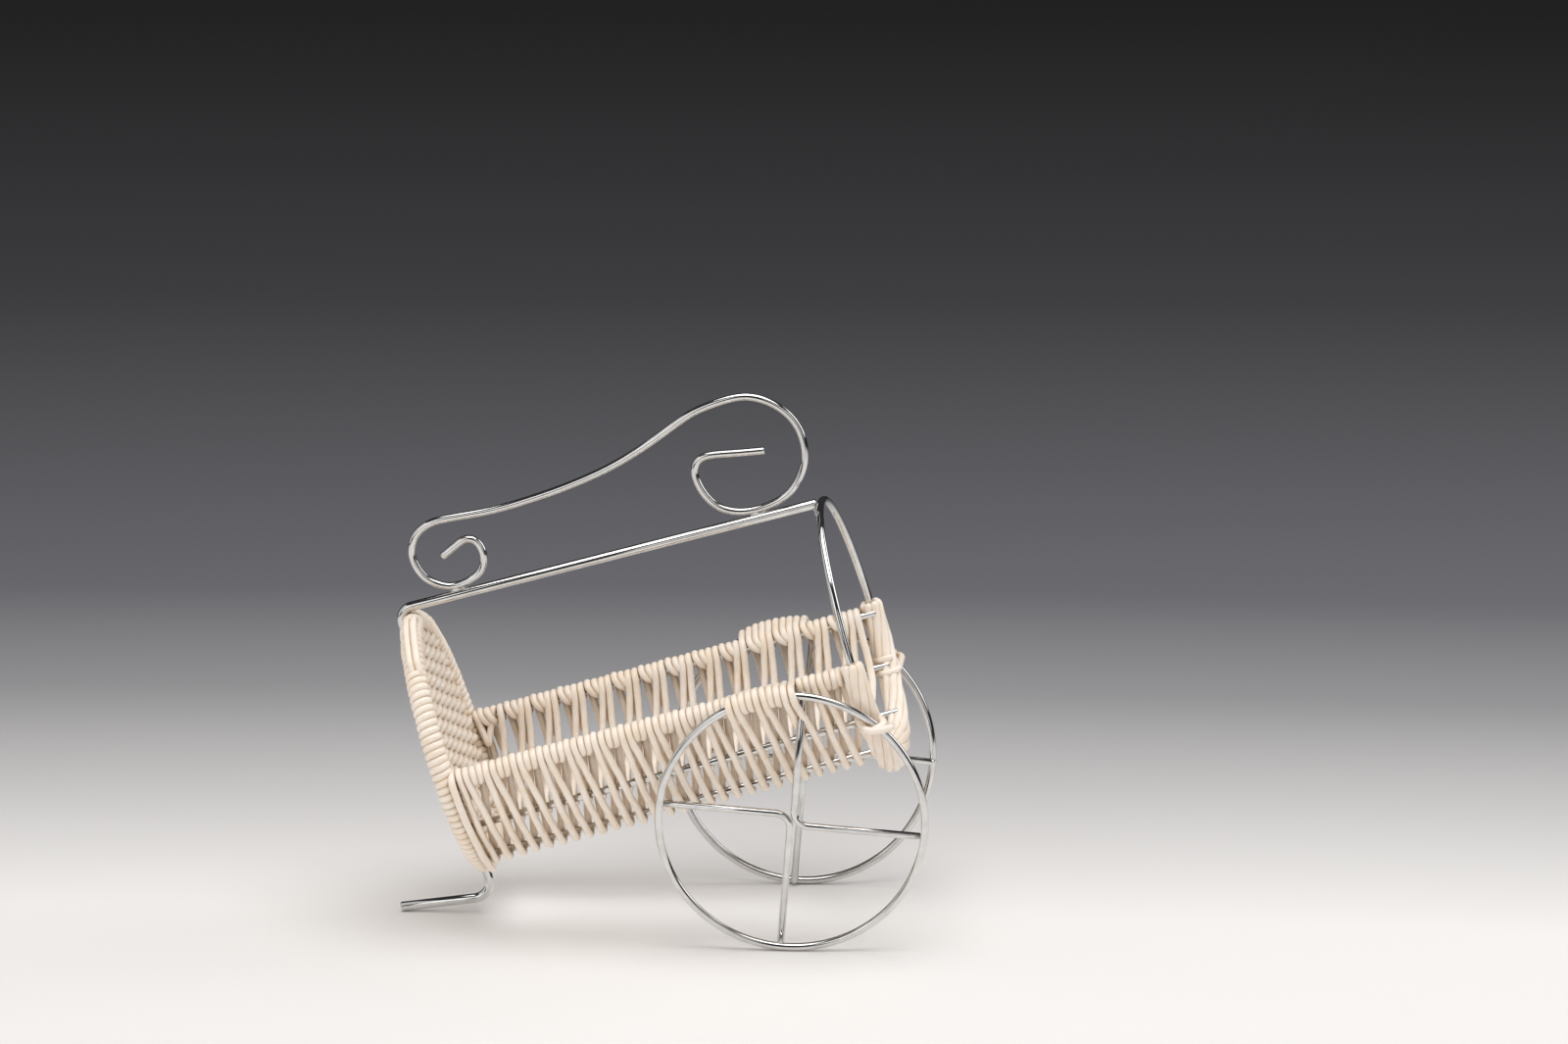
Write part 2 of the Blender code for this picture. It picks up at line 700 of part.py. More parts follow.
def build_lashing(side_name, side, material):
    """Strand wound round a wheel ring and the whipped hoop, above and below a rail's end."""
    per_turn = 20
    _, rail_u = polar(RAIL_RADIUS, MIDDLE_ANGLE, side)
    passes_rail = (LASHING_FIRST + LASHING_LAST) / 2
    count = round((LASHING_LAST - LASHING_FIRST) * per_turn)
    path = []
    for step in range(count + 1):
        turns = LASHING_FIRST + step / per_turn
        u = rail_u + LASHING_PITCH * (passes_rail - turns)
        hoop_y = math.sqrt(HOOP_RADIUS**2 - u**2)
        ring = (ring_s(u), ring_y(ring_s(u), u))
        hoop = (hoop_s(side * hoop_y, u), hoop_y)
        rise = u + (AXIS_HEIGHT - WHEEL_HEIGHT) * math.cos(CRADLE_TILT)
        ring_slant = math.sqrt(1 - (rise / WHEEL_RADIUS) ** 2)
        reach_ring = ((WHEEL_WIRE + STRAND) / 2 + SEAT) / ring_slant
        reach_hoop = (HOOP_WHIP + SEAT + STRAND / 2) * HOOP_RADIUS / hoop_y
        s, y = belt(ring, reach_ring, hoop, reach_hoop, turns)
        path.append(in_cradle(s, side * y, u))
    name = f"wheel_lashing_{side_name}"
    wire(name, path, STRAND, material, rounds=STRAND_ROUNDS)
    print(f"{name}: least gap to itself {least_gap(path) * 1000:.2f} mm")


def main():
    clear_scene()
    chrome = make_material("chrome", (0.62, 0.61, 0.60), 0.08, 1.0)
    cream = make_material("strand", (0.86, 0.76, 0.64), 0.42, 0.0)
    build_spine(chrome)
    build_scroll_handle(chrome)
    build_hoop(chrome)
    build_back_frame(chrome)
    build_rails(chrome)
    for side_name, side in SIDES.items():
        build_wheel_ring(side_name, side, chrome)
        build_spokes(side_name, side, chrome)
        build_lashing(side_name, side, cream)
    build_walls(cream)
    build_back_whipping(cream)
    build_front_whipping(cream)
    build_panel(cream)


main()
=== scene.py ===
"""Looks of the wine bottle basket: bright plated wire, wound with cream strand.

Lengths are in metres. +X points from the woven back to the front hoop, +Z is up, and the
floor is at zero. "Right" is the side at -Y. The cradle has its own frame, tilted about Y: s
runs along its axis towards the hoop, y is sideways, and u is square to both.
"""

import math

import bmesh
import bpy
from bpy.props import FloatProperty, FloatVectorProperty, IntProperty, PointerProperty
from mathutils import Matrix, Vector


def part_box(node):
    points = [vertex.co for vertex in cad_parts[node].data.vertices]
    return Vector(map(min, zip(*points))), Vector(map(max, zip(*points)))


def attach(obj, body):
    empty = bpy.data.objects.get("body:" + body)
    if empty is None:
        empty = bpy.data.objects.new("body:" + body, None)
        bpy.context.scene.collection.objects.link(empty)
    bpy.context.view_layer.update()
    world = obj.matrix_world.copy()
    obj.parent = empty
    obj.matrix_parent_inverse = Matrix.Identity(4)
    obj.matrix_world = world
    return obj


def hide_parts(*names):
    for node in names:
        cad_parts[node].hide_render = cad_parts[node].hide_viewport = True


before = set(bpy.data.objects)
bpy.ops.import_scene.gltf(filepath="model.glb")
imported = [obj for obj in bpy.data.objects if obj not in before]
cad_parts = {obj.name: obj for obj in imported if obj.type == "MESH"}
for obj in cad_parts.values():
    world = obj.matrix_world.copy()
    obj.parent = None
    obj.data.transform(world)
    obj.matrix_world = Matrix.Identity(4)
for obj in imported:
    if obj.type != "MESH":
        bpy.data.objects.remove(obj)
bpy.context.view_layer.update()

bl_info = {
    "name": "Wine Bottle Basket",
    "version": (1, 0, 0),
    "blender": (4, 5, 0),
    "location": "3D View > Sidebar > Basket",
    "description": "Dresses the wire and strand of a wine bottle basket",
    "category": "Object",
}

# Wire, strand and the gap that touching pieces keep
SPINE_WIRE = 0.0035
HOOP_WIRE = 0.0028
FRAME_WIRE = 0.0028
RAIL_WIRE = 0.0026
WHEEL_WIRE = 0.0028
SPOKE_WIRE = 0.0026
SCROLL_WIRE = 0.0027
STRAND = 0.0025
SEAT = 0.0003

# Cradle
CRADLE_ROOM = 0.0378
CRADLE_TILT = math.radians(16.1)
CRADLE_LENGTH = 0.1530
HOOP_AHEAD_OF_WHEELS = 0.0245
RIM_ANGLE = math.radians(0.3)
MIDDLE_ANGLE = math.radians(27.2)
LOW_ANGLE = math.radians(53.8)
BAR_RISE = 0.0536
BAR_ABOVE_HOOP = 0.0002
HOOP_ASKEW = math.radians(2.1)
HOOP_LEAN = math.radians(0.5)
HOOP_FLATTENING = 0.0028
FRAME_FLATTENING = 0.0020
FRAME_RISE = 0.0497
FRAME_LEAN = math.radians(1.6)
RAIL_TRIM = 0.0014

# Spine: top bar, leg and tail
BAR_RISE_TO_REAR = math.radians(0.9)
SPINE_TOP_BEND = 0.0048
SPINE_FOOT_BEND = 0.0062
TAIL_SLOPE = math.radians(7.6)
TAIL_LENGTH = 0.0345

# Wheels
WHEEL_RADIUS = 0.0472
WHEEL_LEAN = math.radians(5.0)
WHEEL_OFF_WALL = 0.0006
WHEEL_TURN = math.radians(4.6)
SPOKE_BEND = 0.0055
SPOKE_SLIDE = 0.0012

# Welds: the bar's end to the hoop, the scroll to the bar, and the spokes to the rings.
# A size is length, width and height.
WELD_DROP = 0.0012
WELD_SINK_SHARE = 0.2
WELD_SIZE = (0.0058, 0.0034, 0.0034)
WELD_RIPPLES = 7
WELD_STEP = math.radians(1.9)
RIPPLE_SIZE = (0.0022, 0.0028, 0.0028)
RIPPLE_OFFSET_SHARE = 0.4
SCROLL_WELD_SIZE = (0.0062, 0.0021, 0.0017)
SCROLL_WELD_AHEAD_SHARE = 0.12
SPOKE_WELD_SIZE = (0.0030, 0.0023, 0.0015)

# Scroll handle
FRONT_WELD = 0.0259
REAR_WELD = 0.1358
FRONT_SCROLL = 0.0413
REAR_SCROLL = 0.0255

# Wall winding: two loops a lead, an outer pass and a rim wrap to each
WALL_OVERRUN = 0.0005
EVEN_PAIRS = 9
LAST_PAIRS = 5
RING_BOUND_FROM = -0.0235
RING_BOUND_TO = 0.0015
FIRST_PASS_BEHIND_WHEELS = 0.1228
SECOND_PASS = 0.00255
FIRST_WRAP = 0.0051
SECOND_WRAP = 0.0076
PASS_ADVANCE = 0.0010
LOW_PITCH = 0.00503
TURN_ADVANCE = 0.0003
MIDDLE_RAIL_SHARE = 0.8
RING_PASS_SHARE = 0.1
WRAP_BACK_SHARE = 0.3
OVER_RING_FROM = math.radians(100)

# Swings of the wall strand round a rail, measured up from outward, and the steps of its
# turns: over the rim, down outside, under it, and up inside to close by the top again
ON_TOP = math.radians(90)
INWARD = math.radians(180)
UNDER = math.radians(-90)
DOWN_TO = math.radians(-60)
BACK_UNDER_TO = math.radians(-202.5)
RISE_FROM = math.radians(150)
RISE_TO = math.radians(112.5)
OVER_STEPS = 3
BEND_STEPS = 2
INNER_RISE_STEPS = 2
WRAP_DOWN_STEPS = 4
WRAP_BACK_STEPS = 3
WRAP_RISE_STEPS = 1

# The wall strand's tail, laid along the back border
TAIL_ANGLE = math.radians(61)
TAIL_STEPS = 14
TAIL_REACH = 0.0044
TAIL_AHEAD = 0.0030
TAIL_TUCK = 0.0012
TAIL_DIP = math.radians(14)
TAIL_TURN_FROM = math.radians(60)
TAIL_TURN_TO = math.radians(210)
TAIL_TURN_STEPS = 6

# Whippings, panel and lashings
WRAP_PITCH = 0.00262
BORDER_STRANDS = 7
PACKED = 1.2
STRIP_FROM = math.radians(96)
STRIP_TO = math.radians(134)
STRIP_AHEAD = 0.0009
STRIP_STRANDS = 2
STRIP_SINK = 0.0011
STRIP_TUCK_SHARE = 0.125
BORDER_TURNS = 1.5
WHIP_ABOVE_RIM = 0.0042
WEAVER_PITCH = 0.0031
WEAVER = 0.0030
STAKE_PITCH = 0.0084
STAKE = 0.0019
WEAVER_SWING = 0.0009
LASHING_FIRST = -0.60
LASHING_LAST = 1.20
LASHING_CROSSING = 0.695
LASHING_SPREAD = 0.0024
LASHING_HUMP = 0.0009
LASHING_SINK = 0.0016

# Ends of wires and strands: a wire's chamfer, and a strand's rounding in shares of its radius
WIRE_CHAMFER = 0.0003
END_SHARES = (0.06, 0.2, 0.45)
END_TIP = 0.06

# Points along the paths, and faces round a strand
RING_STEPS = 128
OVAL_STEPS = 160
BEND_STEP = math.radians(6)
KNOT_STEPS = 24
SCROLL_STEPS = 360
SCROLL_ROUNDING = 10
TURN_STEPS = 8
INNER_STEPS = 6
PAIR_STEPS = 220
FIRST_WRAP_STEPS = 132
ROUNDING_PASSES = 3
HOOP_ARC_STEPS = 96
STRIP_STEPS = 40
LASHING_STEPS = 40
STAKE_STEPS = 24
WEAVER_STEPS = 8
STRAND_SIDES = 10
WRAP_PLACES = 12
WRAP_SIDES = 8

# Weight of a turn when a wall's points are put in order: more than all of its points
TURN_WEIGHT = 100000.0

# Plating: hazy where the cloudy noise is between the two limits
DULL_SHARE = 0.86
POLISH = 0.07
HAZE = 0.07
CLOUD_GRAIN = 240.0
DRAWING_GRAIN = 2200.0
DRAWING_SHARE = 0.4
HAZY_FROM = 0.42
HAZY_TO = 0.72
PLATING_RELIEF = 0.00001

# Strand: warm stretches and fibre lines show where their noise is between the two limits
STRAY_GRAIN = 190.0
TONE_GRAIN = 120.0
WARM_FROM = 0.4
WARM_TO = 0.7
FIBRE_GRAIN = 2600.0
FIBRE_STRETCH = 0.06
LINES_FROM = 0.56
LINES_TO = 0.74
LINES_SHARE = 0.35
LINES_ROUGHNESS = 0.25
STRAND_ROUGHNESS = 0.36
STRAND_COAT = 0.12
STRAND_COAT_ROUGHNESS = 0.25
STRAND_RELIEF = 0.00006
PANEL_SHARE = 0.94

# Painted shade: a darker, warmer colour between strands, where a neighbour is near. How near a
# neighbour counts, and how open a place is where the painted shade starts and where it is full
PAINTED_SHADE_REACH = 0.0040
PAINTED_SHADE_SAMPLES = 6
PAINTED_SHADE_FREE = 0.85
PAINTED_SHADE_FULL = 0.3
PAINTED_SHADE_SHARE = 0.9

# Sizes that follow from the ones above
RAIL_RADIUS = CRADLE_ROOM + STRAND + SEAT + RAIL_WIRE / 2
TURN_RADIUS = (RAIL_WIRE + STRAND) / 2 + SEAT
OUTER_PASS = RAIL_RADIUS + TURN_RADIUS
INNER_PASS = RAIL_RADIUS - TURN_RADIUS
HOOP_RADIUS = RAIL_RADIUS + (RAIL_WIRE + HOOP_WIRE) / 2 + SEAT
HOOP_RISE = BAR_RISE - BAR_ABOVE_HOOP
SPOKE_INSIDE_RING = (SPOKE_WIRE + WHEEL_WIRE) / 2 + SEAT
RING_TOP_PLANE = OUTER_PASS + (STRAND + SPOKE_WIRE) / 2 + SEAT + SPOKE_INSIDE_RING + WHEEL_OFF_WALL
WHEEL_PLANE = RING_TOP_PLANE - WHEEL_RADIUS * math.tan(WHEEL_LEAN)
WHEEL_HEIGHT = WHEEL_RADIUS + WHEEL_WIRE / 2
AXIS_HEIGHT = WHEEL_HEIGHT + WHEEL_RADIUS
AXIS_ABOVE_WHEELS = AXIS_HEIGHT - WHEEL_HEIGHT
HOOP_WHIP = HOOP_WIRE / 2 + SEAT + STRAND
FRAME_WHIP = FRAME_WIRE / 2 + SEAT + STRAND
FRAME_S = HOOP_AHEAD_OF_WHEELS - CRADLE_LENGTH
LEG_BEHIND_FRAME = (FRAME_WIRE + SPINE_WIRE) / 2 + SEAT
LEG_LEAN = CRADLE_TILT + FRAME_LEAN
PANEL_INSET = FRAME_WHIP - STRAND / 2
PANEL_RADIUS = RAIL_RADIUS - PANEL_INSET
PANEL_TOP = FRAME_RISE - PANEL_INSET
PANEL_BOTTOM = PANEL_RADIUS - FRAME_FLATTENING
FLAT_FROM = math.sin(LOW_ANGLE)
RAIL_ANGLES = {"rim": RIM_ANGLE, "middle": MIDDLE_ANGLE, "low": LOW_ANGLE}
SIDES = {"right": -1, "left": 1}


def wheel_centre_x():
    """Place of the wheels' centres along X, from the ring's box."""
    low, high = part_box("wheel_ring_right")
    return (low[0] + high[0]) / 2


WHEEL_X = wheel_centre_x()


# Frames of the cradle


def in_cradle(s, y, u):
    x = WHEEL_X + s * math.cos(CRADLE_TILT) - u * math.sin(CRADLE_TILT)
    z = AXIS_HEIGHT + s * math.sin(CRADLE_TILT) + u * math.cos(CRADLE_TILT)
    return Vector((x, y, z))


def along_cradle(s):
    return in_cradle(s, 0, 0) - in_cradle(0, 0, 0)


def cradle_matrix(s, lean):
    """Frame square to the cradle at s, leaning back: X is sideways, Y is up and Z is ahead."""
    tilt = CRADLE_TILT + lean
    along = Vector((math.cos(tilt), 0, math.sin(tilt)))
    up = Vector((-math.sin(tilt), 0, math.cos(tilt)))
    matrix = Matrix((up.cross(along), up, along)).transposed().to_4x4()
    matrix.translation = in_cradle(s, 0, 0)
    return matrix


def polar(radius, angle, side):
    return side * radius * math.cos(angle), -radius * math.sin(angle)


def bent(corners, radii):
    """The corners' line, with an arc of each radius at the corners between its ends."""
    path = [Vector(corners[0])]
    for before, corner, after, radius in zip(corners, corners[1:], corners[2:], radii):
        back = (Vector(before) - Vector(corner)).normalized()
        ahead = (Vector(after) - Vector(corner)).normalized()
        turn = math.pi - back.angle(ahead)
        start = Vector(corner) + back * radius * math.tan(turn / 2)
        centre = Vector(corner) + (back + ahead).normalized() * (radius / math.cos(turn / 2))
        steps = max(2, math.ceil(turn / BEND_STEP))
        arm = start - centre
        for step in range(steps + 1):
            angle = turn * step / steps
            path.append(centre + arm * math.cos(angle) - back * radius * math.sin(angle))
    path.append(Vector(corners[-1]))
    return path


def through(points, count):
    """An even walk of count steps along a smooth curve through the points."""
    knots = [points[0] * 2 - points[1], *points, points[-1] * 2 - points[-2]]
    dense = []
    for a, b, c, d in zip(knots, knots[1:], knots[2:], knots[3:]):
        for step in range(KNOT_STEPS):
            t = step / KNOT_STEPS
            cubic = (d - a + (b - c) * 3) * t**3
            dense.append(b + ((c - a) * t + (a * 2 - b * 5 + c * 4 - d) * t**2 + cubic) / 2)
    dense.append(points[-1])
    return even(dense, count)


def even(dense, count):
    """count equal steps along a line of points."""
    reach = [0.0]
    for here, there in zip(dense, dense[1:]):
        reach.append(reach[-1] + (there - here).length)
    walk = []
    at = 0
    for step in range(count + 1):
        wanted = reach[-1] * step / count
        while at < len(dense) - 2 and reach[at + 1] < wanted:
            at += 1
        span = max(reach[at + 1] - reach[at], 1e-12)
        walk.append(dense[at].lerp(dense[at + 1], min(1.0, (wanted - reach[at]) / span)))
    return walk


def rounded(path, passes):
    """The path with its inner points drawn towards their neighbours a few times."""
    for _ in range(passes):
        inner = [(a + b * 2 + c) / 4 for a, b, c in zip(path, path[1:], path[2:])]
        path = [path[0], *inner, path[-1]]
    return path


def oval_point(radius, rise, flattening, angle):
    """(y, height): a half ellipse above the axis, and below it a half circle with a flat bottom."""
    y = radius * math.cos(angle)
    depth = -math.sin(angle)
    if depth < 0:
        return y, -rise * depth
    past_rails = max(0.0, depth - FLAT_FROM) / (1 - FLAT_FROM)
    return y, flattening * past_rails**2 - radius * depth


def hoop_s(y, u):
    """Place along the cradle of the hoop, which is a little askew and leans back."""
    return HOOP_AHEAD_OF_WHEELS + y * math.tan(HOOP_ASKEW) - u * math.tan(HOOP_LEAN)


BAR_FRONT_S = hoop_s(0, HOOP_RISE) - HOOP_WIRE / 2 - SEAT


def bar_u(s):
    """Height in the cradle of the top bar, which rises a little towards the rear."""
    return BAR_RISE + (BAR_FRONT_S - s) * math.tan(BAR_RISE_TO_REAR)


def spine_path():
    tip_height = SPINE_WIRE / 2 * math.cos(TAIL_SLOPE)
    corner_height = tip_height + TAIL_LENGTH * math.sin(TAIL_SLOPE)
    leg_s = FRAME_S - LEG_BEHIND_FRAME / math.cos(FRAME_LEAN)
    drop = AXIS_HEIGHT + leg_s * math.sin(CRADLE_TILT) - corner_height
    corner_x = leg_s * math.cos(CRADLE_TILT) + drop * math.tan(LEG_LEAN)
    corner = Vector((WHEEL_X + corner_x, 0, corner_height))
    tail = Vector((-math.cos(TAIL_SLOPE), 0, -math.sin(TAIL_SLOPE)))
    slope = math.tan(FRAME_LEAN)
    top_u = bar_u(leg_s) / (1 - slope * math.tan(BAR_RISE_TO_REAR))
    top = in_cradle(leg_s - top_u * slope, 0, top_u)
    front = in_cradle(BAR_FRONT_S, 0, BAR_RISE)
    corners = (front, top, corner, corner + tail * TAIL_LENGTH)
    return bent(corners, (SPINE_TOP_BEND, SPINE_FOOT_BEND))


# Scroll handle: places as shares of each scroll's height, from its weld on the bar.
# The first number of each pair runs forward along the bar, the second up from it.
FRONT_SCROLL_SHARES = (
    (0.324, 0.484), (0.09, 0.523), (-0.149, 0.565), (-0.262, 0.55), (-0.319, 0.44),
    (-0.29, 0.25), (-0.187, 0.088), (0.0, 0.006), (0.241, 0.006), (0.45, 0.082),
    (0.617, 0.27), (0.672, 0.48), (0.635, 0.69), (0.51, 0.862), (0.33, 0.975), (0.14, 1.0),
)
GRIP_SHARES = (
    (0.055, 0.972), (0.13, 0.905), (0.245, 0.785), (0.37, 0.684),
    (0.5, 0.62), (0.635, 0.583), (0.79, 0.567),
)
REAR_SCROLL_SHARES = (
    (0.15, 0.97), (-0.06, 0.94), (-0.25, 0.84), (-0.365, 0.63), (-0.36, 0.4),
    (-0.25, 0.17), (0.0, 0.01), (0.25, 0.012), (0.48, 0.09), (0.605, 0.28),
    (0.6, 0.49), (0.51, 0.61), (0.395, 0.62), (0.24, 0.545), (0.03, 0.45),
)


def scroll_path():
    off_bar = (SPINE_WIRE + SCROLL_WIRE) / 2 + SEAT
    front_s = BAR_FRONT_S - FRONT_WELD
    rear_s = BAR_FRONT_S - REAR_WELD

    def place(s, rise):
        return in_cradle(s, 0, bar_u(s) + off_bar + rise)

    knots = []
    for along, up in FRONT_SCROLL_SHARES:
        knots.append(place(front_s + along * FRONT_SCROLL, up * FRONT_SCROLL))
    for along, up in GRIP_SHARES:
        knots.append(place(front_s + along * (rear_s - front_s), up * FRONT_SCROLL))
    for along, up in REAR_SCROLL_SHARES:
        knots.append(place(rear_s + along * REAR_SCROLL, up * REAR_SCROLL))
    return rounded(through(knots, SCROLL_STEPS), SCROLL_ROUNDING)


def hoop_points():
    points = []
    for step in range(OVAL_STEPS):
        y, u = oval_point(HOOP_RADIUS, HOOP_RISE, HOOP_FLATTENING, math.tau * step / OVAL_STEPS)
        points.append(in_cradle(hoop_s(y, u), y, u))
    return points


def frame_points():
    matrix = cradle_matrix(FRAME_S, FRAME_LEAN)
    points = []
    for step in range(OVAL_STEPS):
        angle = math.tau * step / OVAL_STEPS
        y, height = oval_point(RAIL_RADIUS, FRAME_RISE, FRAME_FLATTENING, angle)
        points.append(matrix @ Vector((y, height, 0)))
    return points


def rail_ends(angle, side):
    y, u = polar(RAIL_RADIUS, angle, side)
    rear = FRAME_S - u * math.tan(FRAME_LEAN) + FRAME_WIRE / 2 + SEAT
    return [in_cradle(rear, y, u), in_cradle(hoop_s(y, u) + RAIL_TRIM, y, u)]


def on_wheel(side, x, inside, z):
    y = WHEEL_PLANE - inside + z * math.tan(WHEEL_LEAN)
    return Vector((WHEEL_X + x, side * y, WHEEL_HEIGHT + z))


def ring_points(side):
    points = []
    for step in range(RING_STEPS):
        angle = math.tau * step / RING_STEPS
        x = WHEEL_RADIUS * math.sin(angle)
        points.append(on_wheel(side, x, 0, -WHEEL_RADIUS * math.cos(angle)))
    return points


def spoke_paths(side):
    """Paths of a wheel's front and rear spoke, each bent to an L, with the bends side by side."""
    apart = 2 * SPOKE_BEND + SPOKE_WIRE + SEAT
    corner = SPOKE_BEND - math.sqrt(apart**2 - 8 * SPOKE_SLIDE**2) / math.sqrt(8)
    turn = Matrix.Rotation(WHEEL_TURN, 4, "Y")
    lengthwise = corner - SPOKE_SLIDE
    upright = corner + SPOKE_SLIDE
    across = math.sqrt(WHEEL_RADIUS**2 - upright**2)
    down = math.sqrt(WHEEL_RADIUS**2 - lengthwise**2)
    spokes = {}
    for way in (1, -1):
        flat = ((-across, upright), (lengthwise, upright), (lengthwise, -down))
        turned = [turn @ Vector((-side * way * x, 0, way * z)) for x, z in flat]
        corners = [on_wheel(side, place.x, SPOKE_INSIDE_RING, place.z) for place in turned]
        spokes["front_spoke" if way == side else "rear_spoke"] = bent(corners, (SPOKE_BEND,))
    return spokes


def ring_u(s):
    """Height in the cradle of the ring's upper half, above its axis at s."""
    ahead = s + AXIS_ABOVE_WHEELS * math.sin(CRADLE_TILT)
    return math.sqrt(WHEEL_RADIUS**2 - ahead**2) - AXIS_ABOVE_WHEELS * math.cos(CRADLE_TILT)


def ring_y(s, u):
    """Distance of the leaning ring from the middle plane, at a place in the cradle."""
    below_top = WHEEL_RADIUS + WHEEL_HEIGHT - in_cradle(s, 0, u).z
    return RING_TOP_PLANE - below_top * math.tan(WHEEL_LEAN)


def ring_s(u):
    """Place along the cradle of the ring's front half, at the height u."""
    above = u + AXIS_ABOVE_WHEELS * math.cos(CRADLE_TILT)
    return math.sqrt(WHEEL_RADIUS**2 - above**2) - AXIS_ABOVE_WHEELS * math.sin(CRADLE_TILT)


# Node trees: small helpers


def put(tree, kind, inputs=None, **settings):
    """A node of this kind, with its settings, and its inputs linked or set."""
    node = tree.nodes.new(kind)
    for name, value in settings.items():
        setattr(node, name, value)
    for key, value in (inputs or {}).items():
        socket = node.inputs[key]
        if isinstance(value, bpy.types.NodeSocket):
            tree.links.new(value, socket)
        else:
            socket.default_value = value
    return node


def maths(tree, operation, first, second=0.0):
    return put(tree, "ShaderNodeMath", {0: first, 1: second}, operation=operation).outputs[0]


def vector_maths(tree, operation, first, second=None, scale=None):
    given = {0: first, 1: second, "Scale": scale}
    inputs = {key: value for key, value in given.items() if value is not None}
    return put(tree, "ShaderNodeVectorMath", inputs, operation=operation).outputs[0]


def mapped(tree, value, low, high, first=0.0, last=1.0):
    """first where the value is low or less, last where it is high or more, even between."""
    inputs = {0: value, 1: low, 2: high, 3: first, 4: last}
    return put(tree, "ShaderNodeMapRange", inputs, clamp=True).outputs[0]


def mixed(tree, share, first, second):
    """A colour between two, which is the second at a share of 1."""
    inputs = {0: share, 6: first, 7: second}
    return put(tree, "ShaderNodeMix", inputs, data_type="RGBA").outputs[2]


def noise(tree, place, grain, detail):
    inputs = {"Vector": place, "Scale": grain, "Detail": detail}
    return put(tree, "ShaderNodeTexNoise", inputs).outputs[0]


def new_group(name, kind, inputs, outputs):
    """A node group with these named sockets, and its input and output node."""
    tree = bpy.data.node_groups.new(name, kind)
    for label, socket, default in inputs:
        made = tree.interface.new_socket(label, in_out="INPUT", socket_type=socket)
        if default is not None:
            made.default_value = default
    for label, socket in outputs:
        tree.interface.new_socket(label, in_out="OUTPUT", socket_type=socket)
    return tree, tree.nodes.new("NodeGroupInput").outputs, tree.nodes.new("NodeGroupOutput").inputs


GEOMETRY = "NodeSocketGeometry"
NUMBER = "NodeSocketFloat"
COUNT = "NodeSocketInt"
OBJECT = "NodeSocketObject"
MATERIAL = "NodeSocketMaterial"
COLOUR = "NodeSocketColor"
VECTOR = "NodeSocketVector"


def stored(tree, geometry, name, value, kind="FLOAT", domain="POINT"):
    inputs = {"Geometry": geometry, "Name": name, "Value": value}
    settings = {"data_type": kind, "domain": domain}
    return put(tree, "GeometryNodeStoreNamedAttribute", inputs, **settings).outputs[0]


def finished_tube(tree, curve, given, scale=1.0):
    """A tube along the curve that keeps its run and its section, shaded smooth and coated."""
    run = put(tree, "GeometryNodeSplineParameter").outputs["Length"]
    curve = stored(tree, curve, "run", run)
    radius = maths(tree, "MULTIPLY", given["Diameter"], 1 / 2)
    sizes = {"Resolution": given["Sides"], "Radius": radius}
    circle = put(tree, "GeometryNodeCurvePrimitiveCircle", sizes).outputs["Curve"]
    section = put(tree, "GeometryNodeInputPosition").outputs[0]
    profile = stored(tree, circle, "section", section, "FLOAT_VECTOR")
    swept = {"Curve": curve, "Profile Curve": profile, "Scale": scale, "Fill Caps": True}
    tube = put(tree, "GeometryNodeCurveToMesh", swept).outputs[0]
    smooth = put(tree, "GeometryNodeSetShadeSmooth", {"Geometry": tube}).outputs[0]
    whole = put(tree, "GeometryNodeRealizeInstances", {"Geometry": smooth}).outputs[0]
    coat = {"Geometry": whole, "Material": given["Finish"]}
    return put(tree, "GeometryNodeSetMaterial", coat).outputs[0]


def uneven(tree, curve, amount, seed):
    """Moves the curve's points aside by a small slow noise."""
    place = put(tree, "GeometryNodeInputPosition").outputs[0]
    inputs = {"Vector": place, "W": seed, "Scale": STRAY_GRAIN, "Detail": 1.0}
    ways = put(tree, "ShaderNodeTexNoise", inputs, noise_dimensions="4D").outputs["Color"]
    centred = vector_maths(tree, "SUBTRACT", ways, (0.5, 0.5, 0.5))
    offset = vector_maths(tree, "SCALE", centred, scale=amount)
    return put(tree, "GeometryNodeSetPosition", {"Geometry": curve, "Offset": offset}).outputs[0]


def from_end(tree):
    """Distance of a curve's point from the nearer end of its spline."""
    run = put(tree, "GeometryNodeSplineParameter").outputs["Length"]
    whole = put(tree, "GeometryNodeSplineLength").outputs["Length"]
    return maths(tree, "MINIMUM", run, maths(tree, "SUBTRACT", whole, run))


def open_scale(tree, scale):
    """The scale on an open spline, and one on a closed spline."""
    is_closed = put(tree, "GeometryNodeInputSplineCyclic").outputs[0]
    inputs = {"Switch": is_closed, "False": scale, "True": 1.0}
    return put(tree, "GeometryNodeSwitch", inputs, input_type="FLOAT").outputs[0]


def round_ends(tree, diameter):
    """Scale that draws the ends of a strand in to half balls."""
    half = maths(tree, "MULTIPLY", diameter, 1 / 2)
    share = maths(tree, "MINIMUM", maths(tree, "DIVIDE", from_end(tree), half), 1.0)
    drop = maths(tree, "SUBTRACT", 1.0, share)
    height = maths(tree, "SUBTRACT", 1.0 + END_TIP**2, maths(tree, "MULTIPLY", drop, drop))
    return open_scale(tree, maths(tree, "MINIMUM", maths(tree, "SQRT", height), 1.0))


